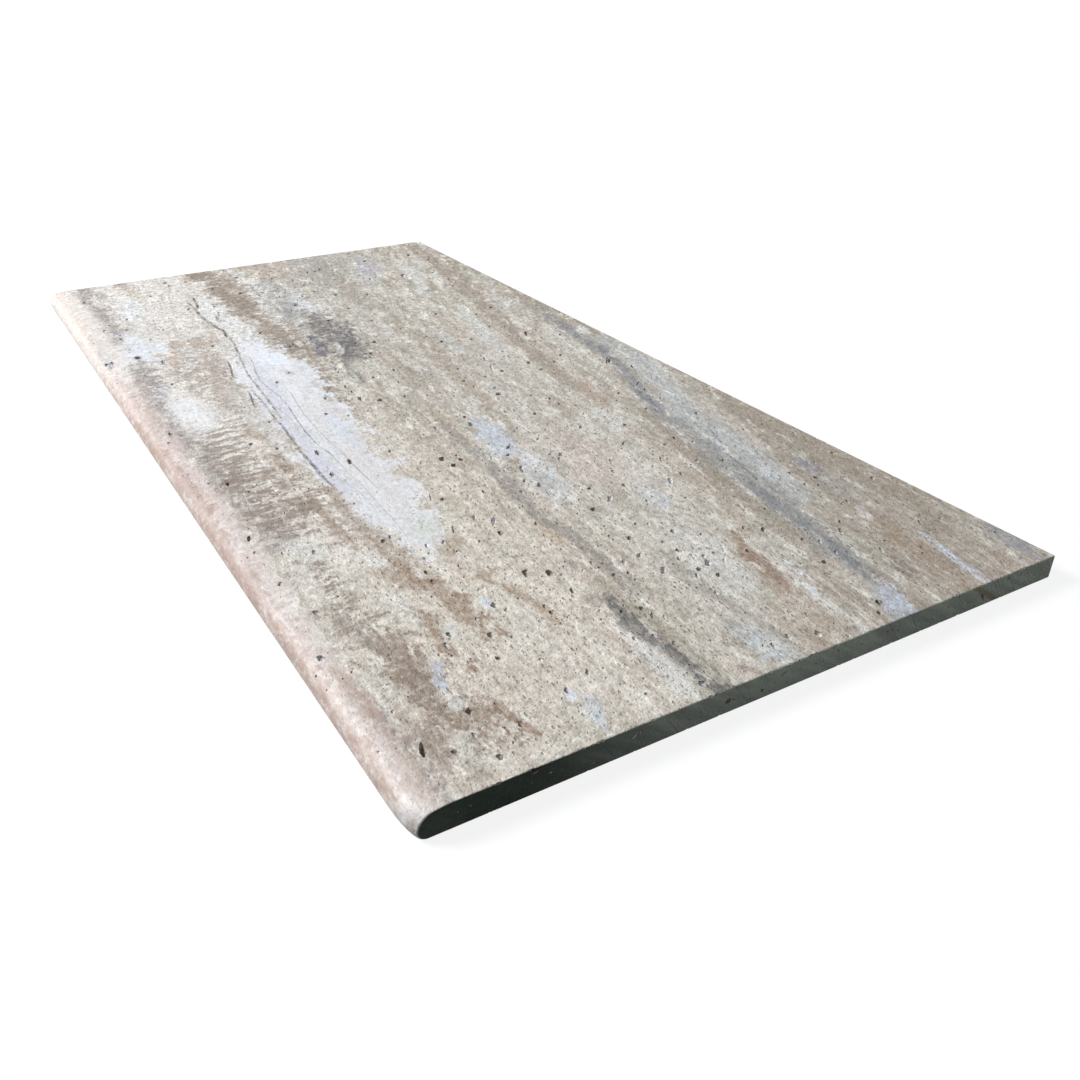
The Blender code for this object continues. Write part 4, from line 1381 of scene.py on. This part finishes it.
@dataclass(frozen=True)
class Studio:
    """The pale floor, the camera and the lights."""

    camera_place: tuple[float, float, float] = (-0.24221, -0.51189, 0.23769)
    camera_forward: tuple[float, float, float] = (0.43455, 0.74730, -0.50271)
    camera_down: tuple[float, float, float] = (-0.25167, -0.43517, -0.86446)
    picture_width: float = 1080.0
    focal_pixels: float = 1033.86
    middle_pixel: float = 498.6
    sensor: float = 36.0
    floor_size: float = 80.0
    ambient: float = 0.2

    def build(self) -> None:
        """Sets up everything round the stone."""
        self.place_camera()
        self.light()
        self.lay_floor()

    def place_camera(self) -> None:
        """Puts the camera at the photograph's angle."""
        data = bpy.data.cameras.new("camera")
        data.sensor_width = self.sensor
        data.lens = self.focal_pixels / self.picture_width * self.sensor
        data.shift_x = 0.5 - self.middle_pixel / self.picture_width
        data.clip_start, data.clip_end = 0.01, 200.0
        camera = bpy.data.objects.new("camera", data)
        bpy.context.scene.collection.objects.link(camera)
        back, up = -Vector(self.camera_forward), -Vector(self.camera_down)
        right = up.cross(back).normalized()
        up = back.cross(right).normalized()
        turned = Matrix((right, up, back.normalized())).transposed().to_4x4()
        camera.matrix_world = Matrix.Translation(self.camera_place) @ turned
        bpy.context.scene.camera = camera

    def add_lamp(
        self, name: str, place: Vector, size: float, watts: float, colour: Colour
    ) -> None:
        """Adds one soft square lamp that points at the stone.

        Args:
            name: the lamp's name.
            place: where it hangs.
            size: the length of its sides.
            watts: its power.
            colour: the colour of its light.
        """
        data = bpy.data.lights.new(name, "AREA")
        data.shape, data.size, data.energy = "SQUARE", size, watts
        data.color = linear(colour)[:3]
        lamp = bpy.data.objects.new(name, data)
        lamp.location = place
        lamp.rotation_mode = "QUATERNION"
        lamp.rotation_quaternion = (-place).to_track_quat("-Z", "Y")
        bpy.context.scene.collection.objects.link(lamp)

    def light(self) -> None:
        """Lights the stone softly from behind its nose, with an even sky round it."""
        self.add_lamp("window", Vector((-0.62, 0.48, 0.62)) * 2.6, 1.1, 91.0, (250, 252, 253))
        self.add_lamp("far_fill", Vector((1.0, -0.75, 0.12)), 0.3, 0.9, (244, 250, 255))
        world = bpy.data.worlds.new("studio_sky")
        bpy.context.scene.world = world
        world.use_nodes = True
        graph = Graph(world.node_tree)
        sky = world.node_tree.nodes["Background"]
        graph.feed(sky.inputs["Color"], linear((236, 242, 255)))
        graph.feed(sky.inputs["Strength"], self.ambient)
        white = graph.add("Background", {"Color": (1.0, 1.0, 1.0, 1.0), "Strength": 1.0})
        shown = graph.add("MixShader", {0: self.seen(graph)})
        graph.feed(shown.inputs[1], sky.outputs[0])
        graph.feed(shown.inputs[2], white.outputs[0])
        output = world.node_tree.nodes["World Output"]
        graph.feed(output.inputs["Surface"], shown.outputs[0])

    @staticmethod
    def seen(graph: Graph) -> Socket:
        """1 for what the camera sees, straight or in a reflection or through glass."""
        path = graph.add("LightPath", {})
        direct = graph.math(
            "MAXIMUM", path.outputs["Is Camera Ray"], path.outputs["Is Glossy Ray"]
        )
        return graph.math("MAXIMUM", direct, path.outputs["Is Transmission Ray"])

    def lay_floor(self) -> None:
        """Lays a wide pale floor at the stone's bed."""
        bpy.ops.object.select_all(action="DESELECT")
        bpy.ops.mesh.primitive_plane_add(size=self.floor_size, location=(0, 0, -0.0002))
        floor = bpy.context.active_object
        floor.name = "studio_floor"
        material = bpy.data.materials.new("pale_floor")
        material.use_nodes = True
        nodes = material.node_tree.nodes
        nodes.remove(nodes["Principled BSDF"])
        graph = Graph(material.node_tree)
        matt = graph.add("BsdfDiffuse", {"Color": (0.2, 0.2, 0.2, 1.0)})
        place = graph.add("TexCoord", {}).outputs["Object"]
        away = graph.add("VectorMath", {0: place}, operation="LENGTH").outputs["Value"]
        pale = graph.math("MULTIPLY", self.seen(graph), graph.ramp(away, 0.5, 1.3, 0.86, 1.0))
        glow = graph.add("Emission", {"Color": (1, 1, 1, 1), "Strength": pale})
        both = graph.add("AddShader", {0: matt.outputs[0], 1: glow.outputs[0]})
        graph.feed(nodes["Material Output"].inputs["Surface"], both.outputs[0])
        floor.data.materials.append(material)


def main() -> None:
    """Builds the stone and its studio."""
    logging.basicConfig(level=logging.INFO, format="%(name)s: %(message)s")
    bpy.context.scene.view_settings.view_transform = "Standard"
    finish = TravertineFinish()
    slab = HonedSlab()
    stone = slab.build()
    stone.data.materials.clear()
    stone.data.materials.append(finish.build())
    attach(stone, slab.body)
    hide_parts(slab.node)
    stone.data.calc_loop_triangles()
    log.info("%s: %d triangles", stone.name, len(stone.data.loop_triangles))
    Studio().build()
    log.info("studio: camera, lamps and floor")


if __name__ == "__main__":
    main()
